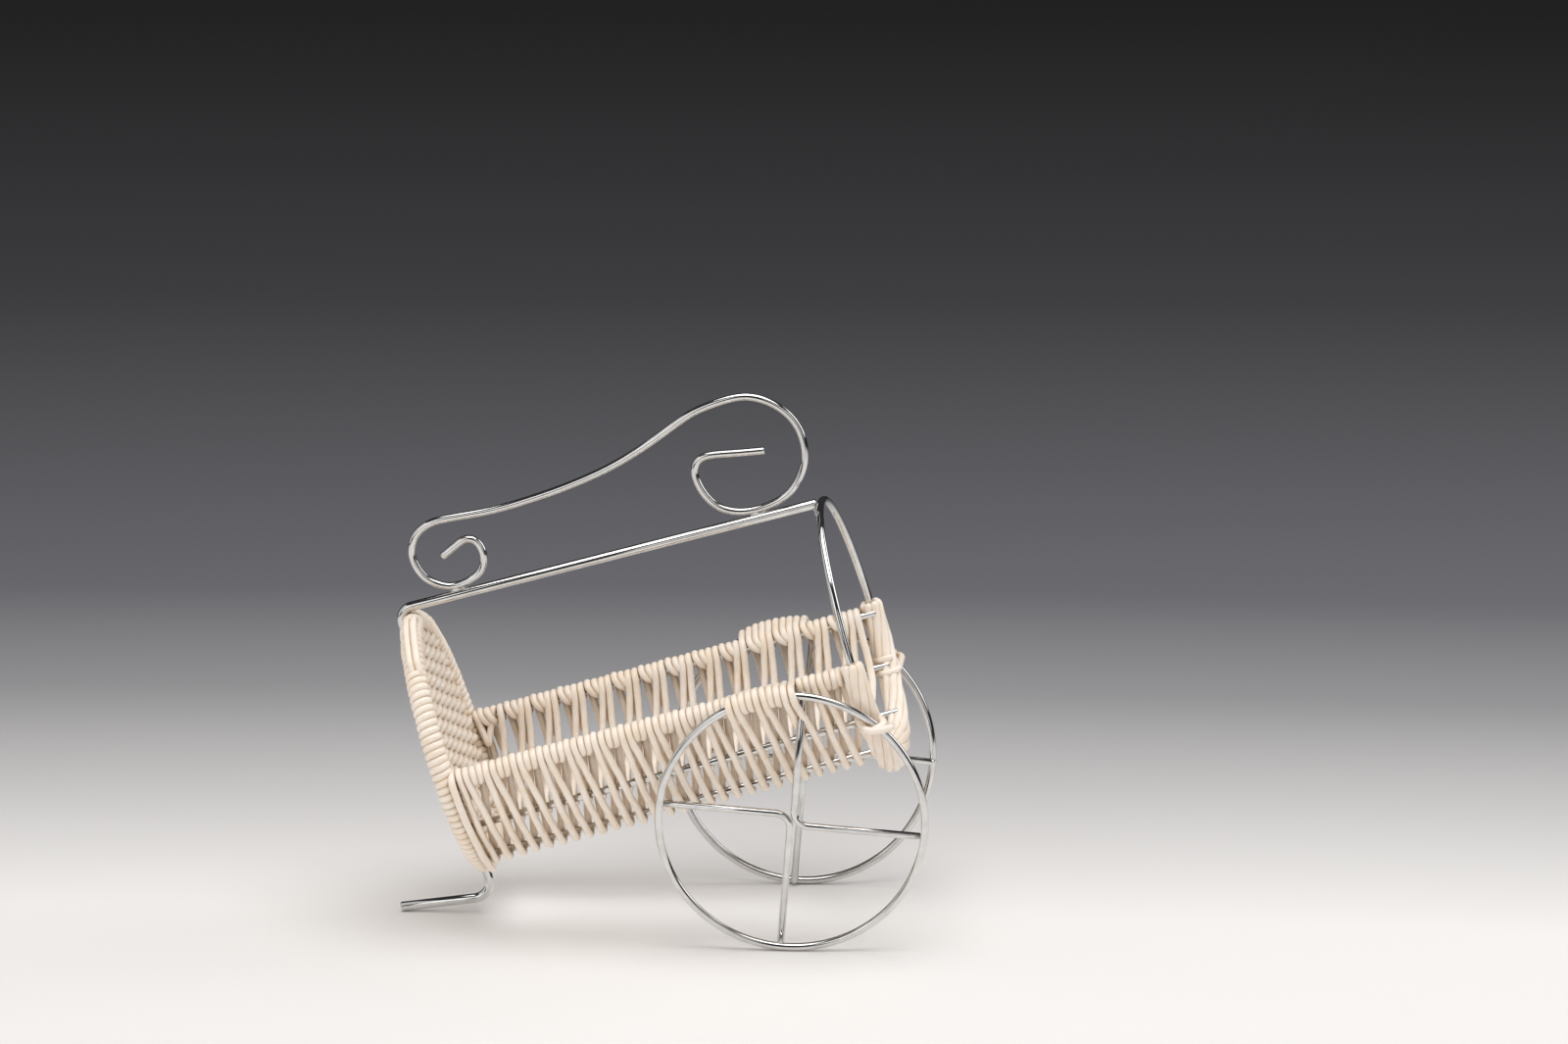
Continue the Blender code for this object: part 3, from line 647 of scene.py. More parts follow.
def wire_tree():
    """A tube along the object's own curve, with a small chamfer at its free ends."""
    tree, given, result = new_group(
        "bent wire",
        "GeometryNodeTree",
        (
            ("Centre line", GEOMETRY, None),
            ("Diameter", NUMBER, HOOP_WIRE),
            ("Sides", COUNT, 20),
            ("Chamfer", NUMBER, WIRE_CHAMFER),
            ("Finish", MATERIAL, None),
        ),
        (("Wire", GEOMETRY),),
    )
    share = maths(tree, "DIVIDE", from_end(tree), maths(tree, "MAXIMUM", given["Chamfer"], 1e-6))
    half = maths(tree, "MULTIPLY", given["Diameter"], 1 / 2)
    drawn = maths(tree, "SUBTRACT", 1.0, maths(tree, "DIVIDE", given["Chamfer"], half))
    scale = open_scale(tree, mapped(tree, share, 0.0, 1.0, drawn))
    tree.links.new(finished_tube(tree, given["Centre line"], given, scale), result["Wire"])
    return tree


def strand_group(name, sockets, sides):
    """A strand's tree, with sockets of its own and those that all strands have."""
    shared = (
        ("Diameter", NUMBER, STRAND),
        ("Sides", COUNT, sides),
        ("Unevenness", NUMBER, 0.0003),
        ("Seed", NUMBER, 1.0),
        ("Finish", MATERIAL, None),
    )
    return new_group(name, "GeometryNodeTree", sockets + shared, (("Strand", GEOMETRY),))


def lay(tree, given, result, line, scale=1.0):
    """The strand itself, as the last step of its tree: a slightly uneven tube."""
    moved = uneven(tree, line, given["Unevenness"], given["Seed"])
    tree.links.new(finished_tube(tree, moved, given, scale), result["Strand"])
    return tree


def strand_tree():
    """A slightly uneven strand along the object's own curves."""
    own = (("Centre line", GEOMETRY, None),)
    tree, given, result = strand_group("laid strand", own, STRAND_SIDES)
    return lay(tree, given, result, given["Centre line"], round_ends(tree, given["Diameter"]))


def whipping_tree():
    """A strand wound round the object's own curve."""
    own = (
        ("Core", GEOMETRY, None),
        ("Wraps", COUNT, 100),
        ("Places a wrap", COUNT, WRAP_PLACES),
        ("Reach", NUMBER, 0.003),
    )
    tree, given, result = strand_group("whipping", own, WRAP_SIDES)
    count = maths(tree, "MULTIPLY", given["Wraps"], given["Places a wrap"])
    inputs = {"Curve": given["Core"], "Count": count}
    line = put(tree, "GeometryNodeResampleCurve", inputs).outputs[0]
    place = put(tree, "GeometryNodeInputIndex").outputs[0]
    angle = maths(tree, "MULTIPLY", maths(tree, "DIVIDE", place, given["Places a wrap"]), math.tau)
    normal = put(tree, "GeometryNodeInputNormal").outputs[0]
    tangent = put(tree, "GeometryNodeInputTangent").outputs[0]
    beside = vector_maths(tree, "CROSS_PRODUCT", tangent, normal)

    def aside(way, wave):
        reach = maths(tree, "MULTIPLY", maths(tree, wave, angle), given["Reach"])
        return vector_maths(tree, "SCALE", way, scale=reach)

    offset = vector_maths(tree, "ADD", aside(normal, "COSINE"), aside(beside, "SINE"))
    helix = put(tree, "GeometryNodeSetPosition", {"Geometry": line, "Offset": offset}).outputs[0]
    return lay(tree, given, result, helix)


def wall_tree():
    """One strand wound along the cradle: a first wrap, a pair of loops repeated, and the
    last pairs, which go over the wheel ring and end at the hoop."""
    own = (
        ("Geometry", GEOMETRY, None),
        ("Loop pair", OBJECT, None),
        ("First wrap", OBJECT, None),
        ("Last pairs", OBJECT, None),
        ("Even pairs", COUNT, EVEN_PAIRS),
        ("Lead", VECTOR, (0.01, 0, 0)),
    )
    tree, given, result = strand_group("wound wall", own, STRAND_SIDES)

    def line_of(socket):
        return put(tree, "GeometryNodeObjectInfo", {"Object": given[socket]}).outputs["Geometry"]

    row = {"Count": given["Even pairs"], "Offset": given["Lead"]}
    places = put(tree, "GeometryNodeMeshLine", row, mode="OFFSET").outputs[0]
    index = put(tree, "GeometryNodeInputIndex").outputs[0]
    copies = {"Points": places, "Instance": line_of("Loop pair")}
    many = put(tree, "GeometryNodeInstanceOnPoints", copies).outputs[0]
    keyed = stored(tree, many, "turn", index, domain="INSTANCE")
    even_pairs = put(tree, "GeometryNodeRealizeInstances", {"Geometry": keyed}).outputs[0]
    last_pairs = stored(tree, line_of("Last pairs"), "turn", given["Even pairs"])
    first_wrap = stored(tree, line_of("First wrap"), "turn", -1.0)
    joined = put(tree, "GeometryNodeJoinGeometry")
    for stretch in (first_wrap, even_pairs, last_pairs):
        tree.links.new(stretch, joined.inputs[0])
    stretches = {"Curve": joined.outputs[0]}
    points = put(tree, "GeometryNodeCurveToPoints", stretches, mode="EVALUATED").outputs["Points"]
    turn = put(tree, "GeometryNodeInputNamedAttribute", {"Name": "turn"}, data_type="FLOAT")
    order = maths(tree, "MULTIPLY", turn.outputs["Attribute"], TURN_WEIGHT)
    weight = maths(tree, "ADD", order, put(tree, "GeometryNodeInputIndex").outputs[0])
    one = put(tree, "GeometryNodePointsToCurves", {"Points": points, "Weight": weight}).outputs[0]
    return lay(tree, given, result, one, round_ends(tree, given["Diameter"]))


TREE_MAKERS = {
    "bent wire": wire_tree,
    "laid strand": strand_tree,
    "whipping": whipping_tree,
    "wound wall": wall_tree,
}


def line_object(name, paths, closed=False):
    """A curve object with one straight-stepped spline for each path."""
    curve = bpy.data.curves.new(name, "CURVE")
    curve.dimensions = "3D"
    for path in paths:
        spline = curve.splines.new("POLY")
        spline.points.add(len(path) - 1)
        for target, point in zip(spline.points, path):
            target.co = (*point, 1.0)
        spline.use_cyclic_u = closed
    made = bpy.data.objects.new(name, curve)
    bpy.context.scene.collection.objects.link(made)
    return made


def grown(name, source, tree_name, sizes, finish, nodes):
    """The plain mesh that a tree makes from a line object, riding on the root body."""
    tree = bpy.data.node_groups.get(tree_name) or TREE_MAKERS[tree_name]()
    modifier = source.modifiers.new(tree_name, "NODES")
    modifier.node_group = tree
    values = dict(sizes, Finish=finish_named(finish))
    for item in tree.interface.items_tree:
        if item.item_type == "SOCKET" and item.in_out == "INPUT" and item.name in values:
            modifier[item.identifier] = values[item.name]
    bpy.context.view_layer.update()
    evaluated = source.evaluated_get(bpy.context.evaluated_depsgraph_get())
    mesh = bpy.data.meshes.new_from_object(evaluated)
    if not mesh.polygons:
        raise RuntimeError(f"{name}: the tree made no faces")
    bpy.data.objects.remove(source, do_unlink=True)
    outward(mesh)
    mesh.name = name
    piece = bpy.data.objects.new(name, mesh)
    bpy.context.scene.collection.objects.link(piece)
    return declared(piece, nodes)


def outward(mesh):
    """Turns the mesh's faces outwards."""
    shell = bmesh.new()
    shell.from_mesh(mesh)
    bmesh.ops.recalc_face_normals(shell, faces=shell.faces)
    shell.to_mesh(mesh)
    shell.free()


def declared(piece, nodes):
    """The piece, riding on the root body, in place of these nodes."""
    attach(piece, "root")
    if nodes:
        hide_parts(*nodes)
    return piece


def with_end_points(path, reaches):
    """The path with more points close to its ends, these distances in from each."""
    ahead = (path[1] - path[0]).normalized()
    back = (path[-2] - path[-1]).normalized()
    first = [path[0] + ahead * reach for reach in reaches]
    last = [path[-1] + back * reach for reach in reversed(reaches)]
    return [path[0], *first, *path[1:-1], *last, path[-1]]


def wire_piece(name, path, diameter, node, closed=False):
    if not closed:
        path = with_end_points(path, (WIRE_CHAMFER,))
    source = line_object(f"{name}_line", [path], closed)
    sides = bpy.context.scene.basket_sizes.wire_sides
    values = {"Diameter": diameter, "Sides": sides, "Chamfer": WIRE_CHAMFER}
    return grown(name, source, "bent wire", values, "plated wire", [node])


def strand_piece(name, paths, nodes, seed, diameter=None, finish="cream strand"):
    sizes = bpy.context.scene.basket_sizes
    diameter = diameter or sizes.strand
    reaches = [diameter / 2 * share for share in END_SHARES]
    source = line_object(f"{name}_line", [with_end_points(path, reaches) for path in paths])
    values = {"Diameter": diameter, "Unevenness": sizes.unevenness, "Seed": float(seed)}
    return grown(name, source, "laid strand", values, finish, nodes)


# Weld beads


def beads(name, places):
    """Small fillets of metal where two wires are welded: (place, direction, sizes) each."""
    shell = bmesh.new()
    for place, along, (length, width, height) in places:
        turn = along.to_track_quat("X", "Z").to_matrix().to_4x4()
        scale = Matrix.Diagonal((length / 2, width / 2, height / 2, 1))
        matrix = Matrix.Translation(place) @ turn @ scale
        bmesh.ops.create_icosphere(shell, subdivisions=3, radius=1.0, matrix=matrix)
    mesh = bpy.data.meshes.new(name)
    shell.to_mesh(mesh)
    shell.free()
    mesh.shade_smooth()
    mesh.materials.append(finish_named("plated wire"))
    piece = bpy.data.objects.new(name, mesh)
    bpy.context.scene.collection.objects.link(piece)
    return declared(piece, [])


# Materials


SURFACE = (("Colour", COLOUR), ("Roughness", NUMBER), ("Relief", NUMBER))


def wear_group():
    """Fine drawing marks and cloudy polish of plated wire."""
    tree, given, result = new_group(
        "drawn metal",
        "ShaderNodeTree",
        (
            ("Polish", NUMBER, POLISH),
            ("Haze", NUMBER, HAZE),
            ("Bright", COLOUR, (0.8, 0.8, 0.8, 1)),
            ("Dull", COLOUR, (0.6, 0.6, 0.6, 1)),
        ),
        SURFACE,
    )
    place = put(tree, "ShaderNodeTexCoord").outputs["Object"]
    cloud = noise(tree, place, CLOUD_GRAIN, detail=4.0)
    drawing = noise(tree, place, DRAWING_GRAIN, detail=2.0)
    marks = maths(tree, "MULTIPLY", drawing, DRAWING_SHARE)
    haze = mapped(tree, cloud, HAZY_FROM, HAZY_TO)
    rough = maths(tree, "ADD", given["Polish"], maths(tree, "MULTIPLY", haze, given["Haze"]))
    relief = maths(tree, "ADD", marks, maths(tree, "MULTIPLY", cloud, 1 - DRAWING_SHARE))
    tree.links.new(mixed(tree, haze, given["Bright"], given["Dull"]), result["Colour"])
    tree.links.new(rough, result["Roughness"])
    tree.links.new(relief, result["Relief"])
    return tree


def fibre_group():
    """Long fibre lines, slow changes of tone, and painted shade: a darker, warmer colour between
    strands.
    """
    tree, given, result = new_group(
        "strand fibre",
        "ShaderNodeTree",
        (
            ("Pale", COLOUR, (0.8, 0.75, 0.66, 1)),
            ("Warm", COLOUR, (0.7, 0.6, 0.45, 1)),
            # Colour of the fibre lines, and also of the painted shade between strands
            ("Lines and painted shade", COLOUR, (0.5, 0.38, 0.25, 1)),
            ("Roughness", NUMBER, STRAND_ROUGHNESS),
        ),
        SURFACE,
    )
    section = put(tree, "ShaderNodeAttribute", attribute_name="section").outputs["Vector"]
    run = put(tree, "ShaderNodeAttribute", attribute_name="run").outputs["Fac"]
    across = put(tree, "ShaderNodeSeparateXYZ", {0: section}).outputs
    along = maths(tree, "MULTIPLY", run, FIBRE_STRETCH)
    grid = put(tree, "ShaderNodeCombineXYZ", {0: across[0], 1: across[1], 2: along}).outputs[0]
    fibre = noise(tree, grid, FIBRE_GRAIN, detail=2.0)
    place = put(tree, "ShaderNodeTexCoord").outputs["Object"]
    warm = mapped(tree, noise(tree, place, TONE_GRAIN, detail=3.0), WARM_FROM, WARM_TO)
    lines = mapped(tree, fibre, LINES_FROM, LINES_TO, 0.0, LINES_SHARE)
    # Painted shade: the colour goes towards the darker one where other strands are near, as shade
    # would fall between them
    nearness = {"Distance": PAINTED_SHADE_REACH}
    free = put(tree, "ShaderNodeAmbientOcclusion", nearness, samples=PAINTED_SHADE_SAMPLES).outputs["AO"]
    painted_shade = mapped(tree, free, PAINTED_SHADE_FULL, PAINTED_SHADE_FREE, PAINTED_SHADE_SHARE, 0.0)
    lined = mixed(tree, lines, mixed(tree, warm, given["Pale"], given["Warm"]), given["Lines and painted shade"])
    rough = maths(tree, "ADD", given["Roughness"], maths(tree, "MULTIPLY", lines, LINES_ROUGHNESS))
    tree.links.new(mixed(tree, painted_shade, lined, given["Lines and painted shade"]), result["Colour"])
    tree.links.new(rough, result["Roughness"])
    tree.links.new(fibre, result["Relief"])
    return tree


GROUP_MAKERS = {"drawn metal": wear_group, "strand fibre": fibre_group}


def effect(tree, name, **values):
    group = tree.nodes.new("ShaderNodeGroup")
    group.node_tree = bpy.data.node_groups.get(name) or GROUP_MAKERS[name]()
    for label, value in values.items():
        group.inputs[label].default_value = value
    return group.outputs


def shader_of(name):
    material = bpy.data.materials.new(name)
    material.use_nodes = True
    return material, material.node_tree, material.node_tree.nodes["Principled BSDF"]


def surfaced(name, group, depth, **values):
    """A material whose colour, roughness and relief come from an effect."""
    material, tree, shader = shader_of(name)
    surface = effect(tree, group, **values)
    bump = put(tree, "ShaderNodeBump", {"Height": surface["Relief"], "Distance": depth})
    tree.links.new(surface["Colour"], shader.inputs["Base Color"])
    tree.links.new(surface["Roughness"], shader.inputs["Roughness"])
    tree.links.new(bump.outputs[0], shader.inputs["Normal"])
    return material, shader


def toned(colour, share):
    return (*(channel * share for channel in colour), 1)


def plated_wire():
    colour = bpy.context.scene.basket_sizes.wire_colour
    tones = {"Bright": toned(colour, 1.0), "Dull": toned(colour, DULL_SHARE)}
    worn = {"Polish": POLISH, "Haze": HAZE, **tones}
    material, shader = surfaced("plated wire", "drawn metal", PLATING_RELIEF, **worn)
    shader.inputs["Metallic"].default_value = 1.0
    return material


def strand_finish(name, share):
    """Cream strand, as pale as the given share of its colour."""
    looks = bpy.context.scene.basket_sizes
    tones = {
        "Pale": toned(looks.strand_colour, share),
        "Warm": toned(looks.strand_warm_colour, share),
        "Lines and painted shade": toned(looks.strand_lines_and_shade_colour, share),
    }
    grain = {"Roughness": STRAND_ROUGHNESS, **tones}
    material, shader = surfaced(name, "strand fibre", STRAND_RELIEF, **grain)
    shader.inputs["Coat Weight"].default_value = STRAND_COAT
    shader.inputs["Coat Roughness"].default_value = STRAND_COAT_ROUGHNESS
    return material


FINISH_MAKERS = {
    "plated wire": plated_wire,
    "cream strand": lambda: strand_finish("cream strand", 1.0),
    "panel strand": lambda: strand_finish("panel strand", PANEL_SHARE),
}


def finish_named(name):
    return bpy.data.materials.get(name) or FINISH_MAKERS[name]()


# Winding of the side walls


def round_rail(angle, side, first, last, steps):
    """(y, u) places of a turn round a rail, between two swings measured up from outward."""
    y, u = polar(RAIL_RADIUS, angle, side)
    places = []
    for step in range(steps + 1):
        swing = first + (last - first) * step / steps
        places.append((y + side * TURN_RADIUS * math.cos(swing), u + TURN_RADIUS * math.sin(swing)))
    return places


def facing(upper, lower):
    """Swing of the outward normal of the run from one rail to the next."""
    y_upper, u_upper = polar(RAIL_RADIUS, upper, 1)
    y_lower, u_lower = polar(RAIL_RADIUS, lower, 1)
    return math.atan2(y_lower - y_upper, u_upper - u_lower)


def staged(places, first, last):
    """Places with an s that goes evenly from first to last."""
    count = max(1, len(places) - 1)
    return [(first + (last - first) * step / count, y, u) for step, (y, u) in enumerate(places)]


def outer_pass(side, start, low):
    """Down outside from the rim to the low rail, and round under it."""
    upper = facing(RIM_ANGLE, MIDDLE_ANGLE)
    lower = facing(MIDDLE_ANGLE, LOW_ANGLE)
    middle = start + (low - start) * MIDDLE_RAIL_SHARE
    over = round_rail(RIM_ANGLE, side, ON_TOP, upper, OVER_STEPS)
    bend = round_rail(MIDDLE_ANGLE, side, upper, lower, BEND_STEPS)
    under = round_rail(LOW_ANGLE, side, lower, -LOW_ANGLE - INWARD, TURN_STEPS)
    down = staged(over, start, start) + staged(bend, middle, middle)
    return down + staged(under, low, low + TURN_ADVANCE)


def over_ring(side, s, last):
    """(y, u) places of a strand that goes out over the wheel ring, down to this swing."""
    reach = (WHEEL_WIRE + STRAND) / 2 + SEAT
    height = ring_u(s)
    plane = ring_y(s, height)
    places = []
    for step in range(TURN_STEPS + 1):
        swing = OVER_RING_FROM + (last - OVER_RING_FROM) * step / TURN_STEPS
        places.append((side * (plane + reach * math.cos(swing)), height + reach * math.sin(swing)))
    return places


def ring_pass(side, start, low):
    """As an outer pass, but out over the wheel ring in place of the turn over the rim."""
    here = start + (low - start) * RING_PASS_SHARE
    over = over_ring(side, here, DOWN_TO)
    plain = outer_pass(side, start, low)
    return plain[:1] + staged(over, start, here) + plain[OVER_STEPS + 1 :]


def on_ring(s):
    return RING_BOUND_FROM < s < RING_BOUND_TO


def inner_pass(side, low, rim):
    """Up inside from the low rail to the rim, and over it till close by its top."""
    places = []
    for step in range(1, INNER_STEPS):
        angle = LOW_ANGLE + (RIM_ANGLE - LOW_ANGLE) * step / INNER_STEPS
        places.append(polar(INNER_PASS, angle, side))
    advance = (rim - low) / INNER_STEPS
    up = staged(places, low + advance, rim - advance)
    over = round_rail(RIM_ANGLE, side, INWARD, RISE_TO, INNER_RISE_STEPS)
    return up + staged(over, rim, rim)


def rim_wrap(side, start, shift):
    """Over the rim, down outside and back under it while the strand shifts along."""
    if on_ring(start):
        down = over_ring(side, start, UNDER)
        share = 0.0
    else:
        down = round_rail(RIM_ANGLE, side, ON_TOP, DOWN_TO, WRAP_DOWN_STEPS)
        share = WRAP_BACK_SHARE
    under = round_rail(RIM_ANGLE, side, UNDER, BACK_UNDER_TO, WRAP_BACK_STEPS)
    back = staged(under, start + shift * share, start + shift)
    rise = round_rail(RIM_ANGLE, side, RISE_FROM, RISE_TO, WRAP_RISE_STEPS)
    return staged(down, start, start) + back + staged(rise, start + shift, start + shift)


def loop_pair(side, start, lead):
    """Two loops: down, up to a rim wrap, back to the second pass, down, up to the next wrap."""
    low = start + PASS_ADVANCE
    second = start + SECOND_PASS
    wrap = start + SECOND_WRAP
    next_wrap = start + lead + FIRST_WRAP
    first_pass = ring_pass if on_ring(start) else outer_pass
    second_pass = ring_pass if on_ring(second) else outer_pass
    return (
        first_pass(side, start, low)
        + inner_pass(side, low + TURN_ADVANCE, wrap)
        + rim_wrap(side, wrap, second - wrap)
        + second_pass(side, second, low + LOW_PITCH)
        + inner_pass(side, low + LOW_PITCH + TURN_ADVANCE, next_wrap)
        + rim_wrap(side, next_wrap, -FIRST_WRAP)
    )


def wall_end(side):
    return hoop_s(side * RAIL_RADIUS, 0) - HOOP_WHIP - STRAND / 2


def pair_lead(side):
    """Advance of a pair of loops along a wall, which ends a little short of the hoop's border."""
    return (wall_end(side) + WALL_OVERRUN + FIRST_PASS_BEHIND_WHEELS) / (EVEN_PAIRS + LAST_PAIRS)


def walk(side, knots, following, steps):
    """An even, rounded walk through the knots, which stops where the following one is."""
    last = wall_end(side)
    places = [in_cradle(min(s, last), y, u) for s, y, u in [*knots, following]]
    return rounded(even(places, steps), ROUNDING_PASSES)[:-1]


def pair_path(side, start, pairs):
    """Path of some loop pairs, up to where the next one starts."""
    lead = pair_lead(side)
    knots = []
    for pair in range(pairs):
        knots += loop_pair(side, start + pair * lead, lead)
    end = start + pairs * lead
    return walk(side, knots, outer_pass(side, end, end)[0], PAIR_STEPS * pairs)


def first_wrap_path(side, start):
    """Path of the strand's tail, up beside the back border and over the rim, and a first wrap."""
    tail = []
    for step in range(TAIL_STEPS + 1):
        angle = TAIL_ANGLE + (RIM_ANGLE - TAIL_ANGLE) * step / TAIL_STEPS
        y, u = polar(RAIL_RADIUS + TAIL_REACH, angle, side)
        tail.append((FRAME_S - u * math.tan(FRAME_LEAN) + TAIL_AHEAD, y, u))
    turn = round_rail(RIM_ANGLE, side, TAIL_TURN_FROM, TAIL_TURN_TO, TAIL_TURN_STEPS)
    over = staged(turn, tail[-1][0], start - TAIL_TUCK)
    inside = staged([polar(INNER_PASS, RIM_ANGLE + TAIL_DIP, side)], start, start)
    wrap = rim_wrap(side, start + FIRST_WRAP, -FIRST_WRAP)
    following = outer_pass(side, start, start)[0]
    return walk(side, tail + over + inside + wrap, following, FIRST_WRAP_STEPS)


# Panel, borders and lashings


def panel_half_width(height):
    """Half of the panel's width at a height over the axis, inside the border."""
    reach = PANEL_TOP if height > 0 else PANEL_BOTTOM
    return PANEL_RADIUS * math.sqrt(max(0.0, 1 - (height / reach) ** 2))


def weaver_paths():
    """Weavers that pass before and behind the stakes by turns."""
    matrix = cradle_matrix(FRAME_S + WEAVER_SWING, FRAME_LEAN)
    paths = []
    for row in range(int((PANEL_TOP + PANEL_BOTTOM) / WEAVER_PITCH)):
        height = -PANEL_BOTTOM + (row + 1 / 2) * WEAVER_PITCH
        half = panel_half_width(height)
        if half < STAKE_PITCH:
            continue
        steps = max(WEAVER_STEPS, int(half * 2 / STAKE_PITCH * WEAVER_STEPS))
        path = []
        for step in range(steps + 1):
            y = -half + 2 * half * step / steps
            swing = WEAVER_SWING * math.cos(math.pi * (y / STAKE_PITCH + row))
            path.append(matrix @ Vector((y, height, swing)))
        paths.append(path)
    return paths


def stake_paths():
    """Upright stakes from the panel's lower edge to its upper one."""
    matrix = cradle_matrix(FRAME_S + WEAVER_SWING, FRAME_LEAN)
    paths = []
    columns = int(PANEL_RADIUS / STAKE_PITCH)
    for column in range(-columns, columns + 1):
        y = column * STAKE_PITCH
        reach = math.sqrt(max(0.0, 1 - (y / PANEL_RADIUS) ** 2))
        if reach * PANEL_BOTTOM < STAKE_PITCH / 2:
            continue
        foot = matrix @ Vector((y, -PANEL_BOTTOM * reach, 0))
        head = matrix @ Vector((y, PANEL_TOP * reach, 0))
        paths.append(even([foot, head], STAKE_STEPS))
    return paths


def hoop_arc():
    """Places of the hoop under the rim, from one side to the other."""
    start = math.asin(WHIP_ABOVE_RIM / HOOP_RISE)
    sweep = math.pi + 2 * start
    points = []
    for step in range(HOOP_ARC_STEPS + 1):
        angle = start - sweep * step / HOOP_ARC_STEPS
        y, u = oval_point(HOOP_RADIUS, HOOP_RISE, HOOP_FLATTENING, angle)
        points.append(in_cradle(hoop_s(y, u), y, u))
    return points


def along_core(core, reach, swing, twist):
    """A path beside the core at this reach, whose swing round it goes on by the twist."""
    path = []
    count = len(core) - 1
    for step, point in enumerate(core):
        ahead = (core[min(step + 1, count)] - core[max(step - 1, 0)]).normalized()
        forward = along_cradle(1)
        forward = (forward - ahead * forward.dot(ahead)).normalized()
        beside = ahead.cross(forward)
        angle = swing + twist * step / count
        path.append(point + (forward * math.cos(angle) + beside * math.sin(angle)) * reach)
    return path


def border_paths():
    """Strands that run along the lower hoop side by side, all round it, with a slow twist."""
    core = hoop_arc()
    reach = HOOP_WHIP - STRAND * PACKED / 2
    paths = []
    for strand in range(BORDER_STRANDS):
        swing = math.tau * strand / BORDER_STRANDS
        paths.append(along_core(core, reach, swing, math.tau * BORDER_TURNS))
    return paths


def strip_paths():
    """Strands that lie along the near side of the back frame's wraps, with tucked ends."""
    matrix = cradle_matrix(FRAME_S, FRAME_LEAN)
    paths = []
    for strand in range(STRIP_STRANDS):
        aside = (strand - (STRIP_STRANDS - 1) / 2) * STRAND
        path = []
        for step in range(STRIP_STEPS + 1):
            share = step / STRIP_STEPS
            angle = STRIP_FROM + (STRIP_TO - STRIP_FROM) * share
            y, u = oval_point(RAIL_RADIUS, FRAME_RISE, FRAME_FLATTENING, angle)
            tuck = STRAND * max(0.0, 1 - min(share, 1 - share) / STRIP_TUCK_SHARE)
            sink = STRIP_SINK + tuck + aside**2 / (2 * FRAME_WHIP)
            reach = 1 + (FRAME_WHIP + STRAND / 2 - sink) / math.hypot(y, u)
            path.append(matrix @ Vector((y * reach, u * reach, aside + STRIP_AHEAD)))
        paths.append(path)
    return paths


def belt(a, reach_a, b, reach_b, share):
    """Point at this share of a belt's turn round two round bars, given their centres."""
    apart = math.dist(a, b)
    line = math.atan2(b[1] - a[1], b[0] - a[0])
    splay = math.asin((reach_b - reach_a) / apart)
    half_a = math.pi / 2 - splay
    half_b = math.pi / 2 + splay
    run = apart * math.cos(splay)
    arc_a = 2 * half_a * reach_a
    arc_b = 2 * half_b * reach_b

    def on(bar, reach, angle):
        return Vector((bar[0] + reach * math.cos(angle), bar[1] + reach * math.sin(angle)))

    way = (share % 1.0) * (arc_a + arc_b + 2 * run)
    leave_a = line - half_b
    leave_b = line + half_b
    if way < arc_b:
        return on(b, reach_b, leave_a + way / reach_b)
    way -= arc_b
    if way < run:
        return on(b, reach_b, leave_b).lerp(on(a, reach_a, leave_b), way / run)
    way -= run
    if way < arc_a:
        return on(a, reach_a, leave_b + way / reach_a)
    way -= arc_a
    return on(a, reach_a, leave_a).lerp(on(b, reach_b, leave_a), way / run)


def lashing_path(side):
    """Two turns round wheel ring and hoop that cross on the ring, above and below the rail."""
    _, centre = polar(RAIL_RADIUS, MIDDLE_ANGLE, side)
    count = round((LASHING_LAST - LASHING_FIRST) * LASHING_STEPS)
    path = []
    for step in range(count + 1):
        turns = LASHING_FIRST + step / LASHING_STEPS
        u = centre + LASHING_SPREAD * math.sin(math.pi * (turns - LASHING_CROSSING))
        over = LASHING_HUMP * (1 + math.cos(math.pi * (turns - LASHING_CROSSING))) / 2
        hoop_y = math.sqrt(HOOP_RADIUS**2 - u**2)
        ring = (ring_s(u), ring_y(ring_s(u), u))
        hoop = (hoop_s(side * hoop_y, u), hoop_y)
        rise = u + AXIS_ABOVE_WHEELS * math.cos(CRADLE_TILT)
        slant = math.sqrt(1 - (rise / WHEEL_RADIUS) ** 2)
        reach_ring = (WHEEL_WIRE + STRAND) / 2 / slant + over
        reach_hoop = HOOP_WHIP + STRAND / 2 - LASHING_SINK
        s, y = belt(ring, reach_ring, hoop, reach_hoop, turns)
        path.append(in_cradle(s, side * y, u))
    return path


# Settings


def length_setting(name, description, default, low):
    return FloatProperty(
        name=name, description=description, default=default, min=low, unit="LENGTH"
    )


def colour_setting(name, description, default):
    return FloatVectorProperty(
        name=name, description=description, default=default, size=3, subtype="COLOR"
    )


class BasketSizes(bpy.types.PropertyGroup):
    """Sizes and colours of the basket's wire and strand."""

    strand: length_setting("Strand", "Diameter of the winding strand", 0.0027, 0.001)
    unevenness: length_setting(
        "Unevenness", "How far the strand strays from its even path", 0.0006, 0.0
    )
    wire_sides: IntProperty(
        name="Wire sides", description="Faces round each wire", default=20, min=8
    )
    wire_colour: colour_setting(
        "Wire colour", "Colour of the bright plating", (0.72, 0.715, 0.70)
    )
    strand_colour: colour_setting(
        "Strand colour", "Colour of most of the strand", (0.935, 0.84, 0.745)
    )
    strand_warm_colour: colour_setting(
        "Strand warm colour", "Colour of the strand's warmer stretches", (0.91, 0.775, 0.63)
    )
    # Colour of the fibre lines, and also of the painted shade between strands
    strand_lines_and_shade_colour: colour_setting(
        "Strand shaded colour", "Colour of the strand's fibre lines and lee", (0.66, 0.50, 0.33)
    )


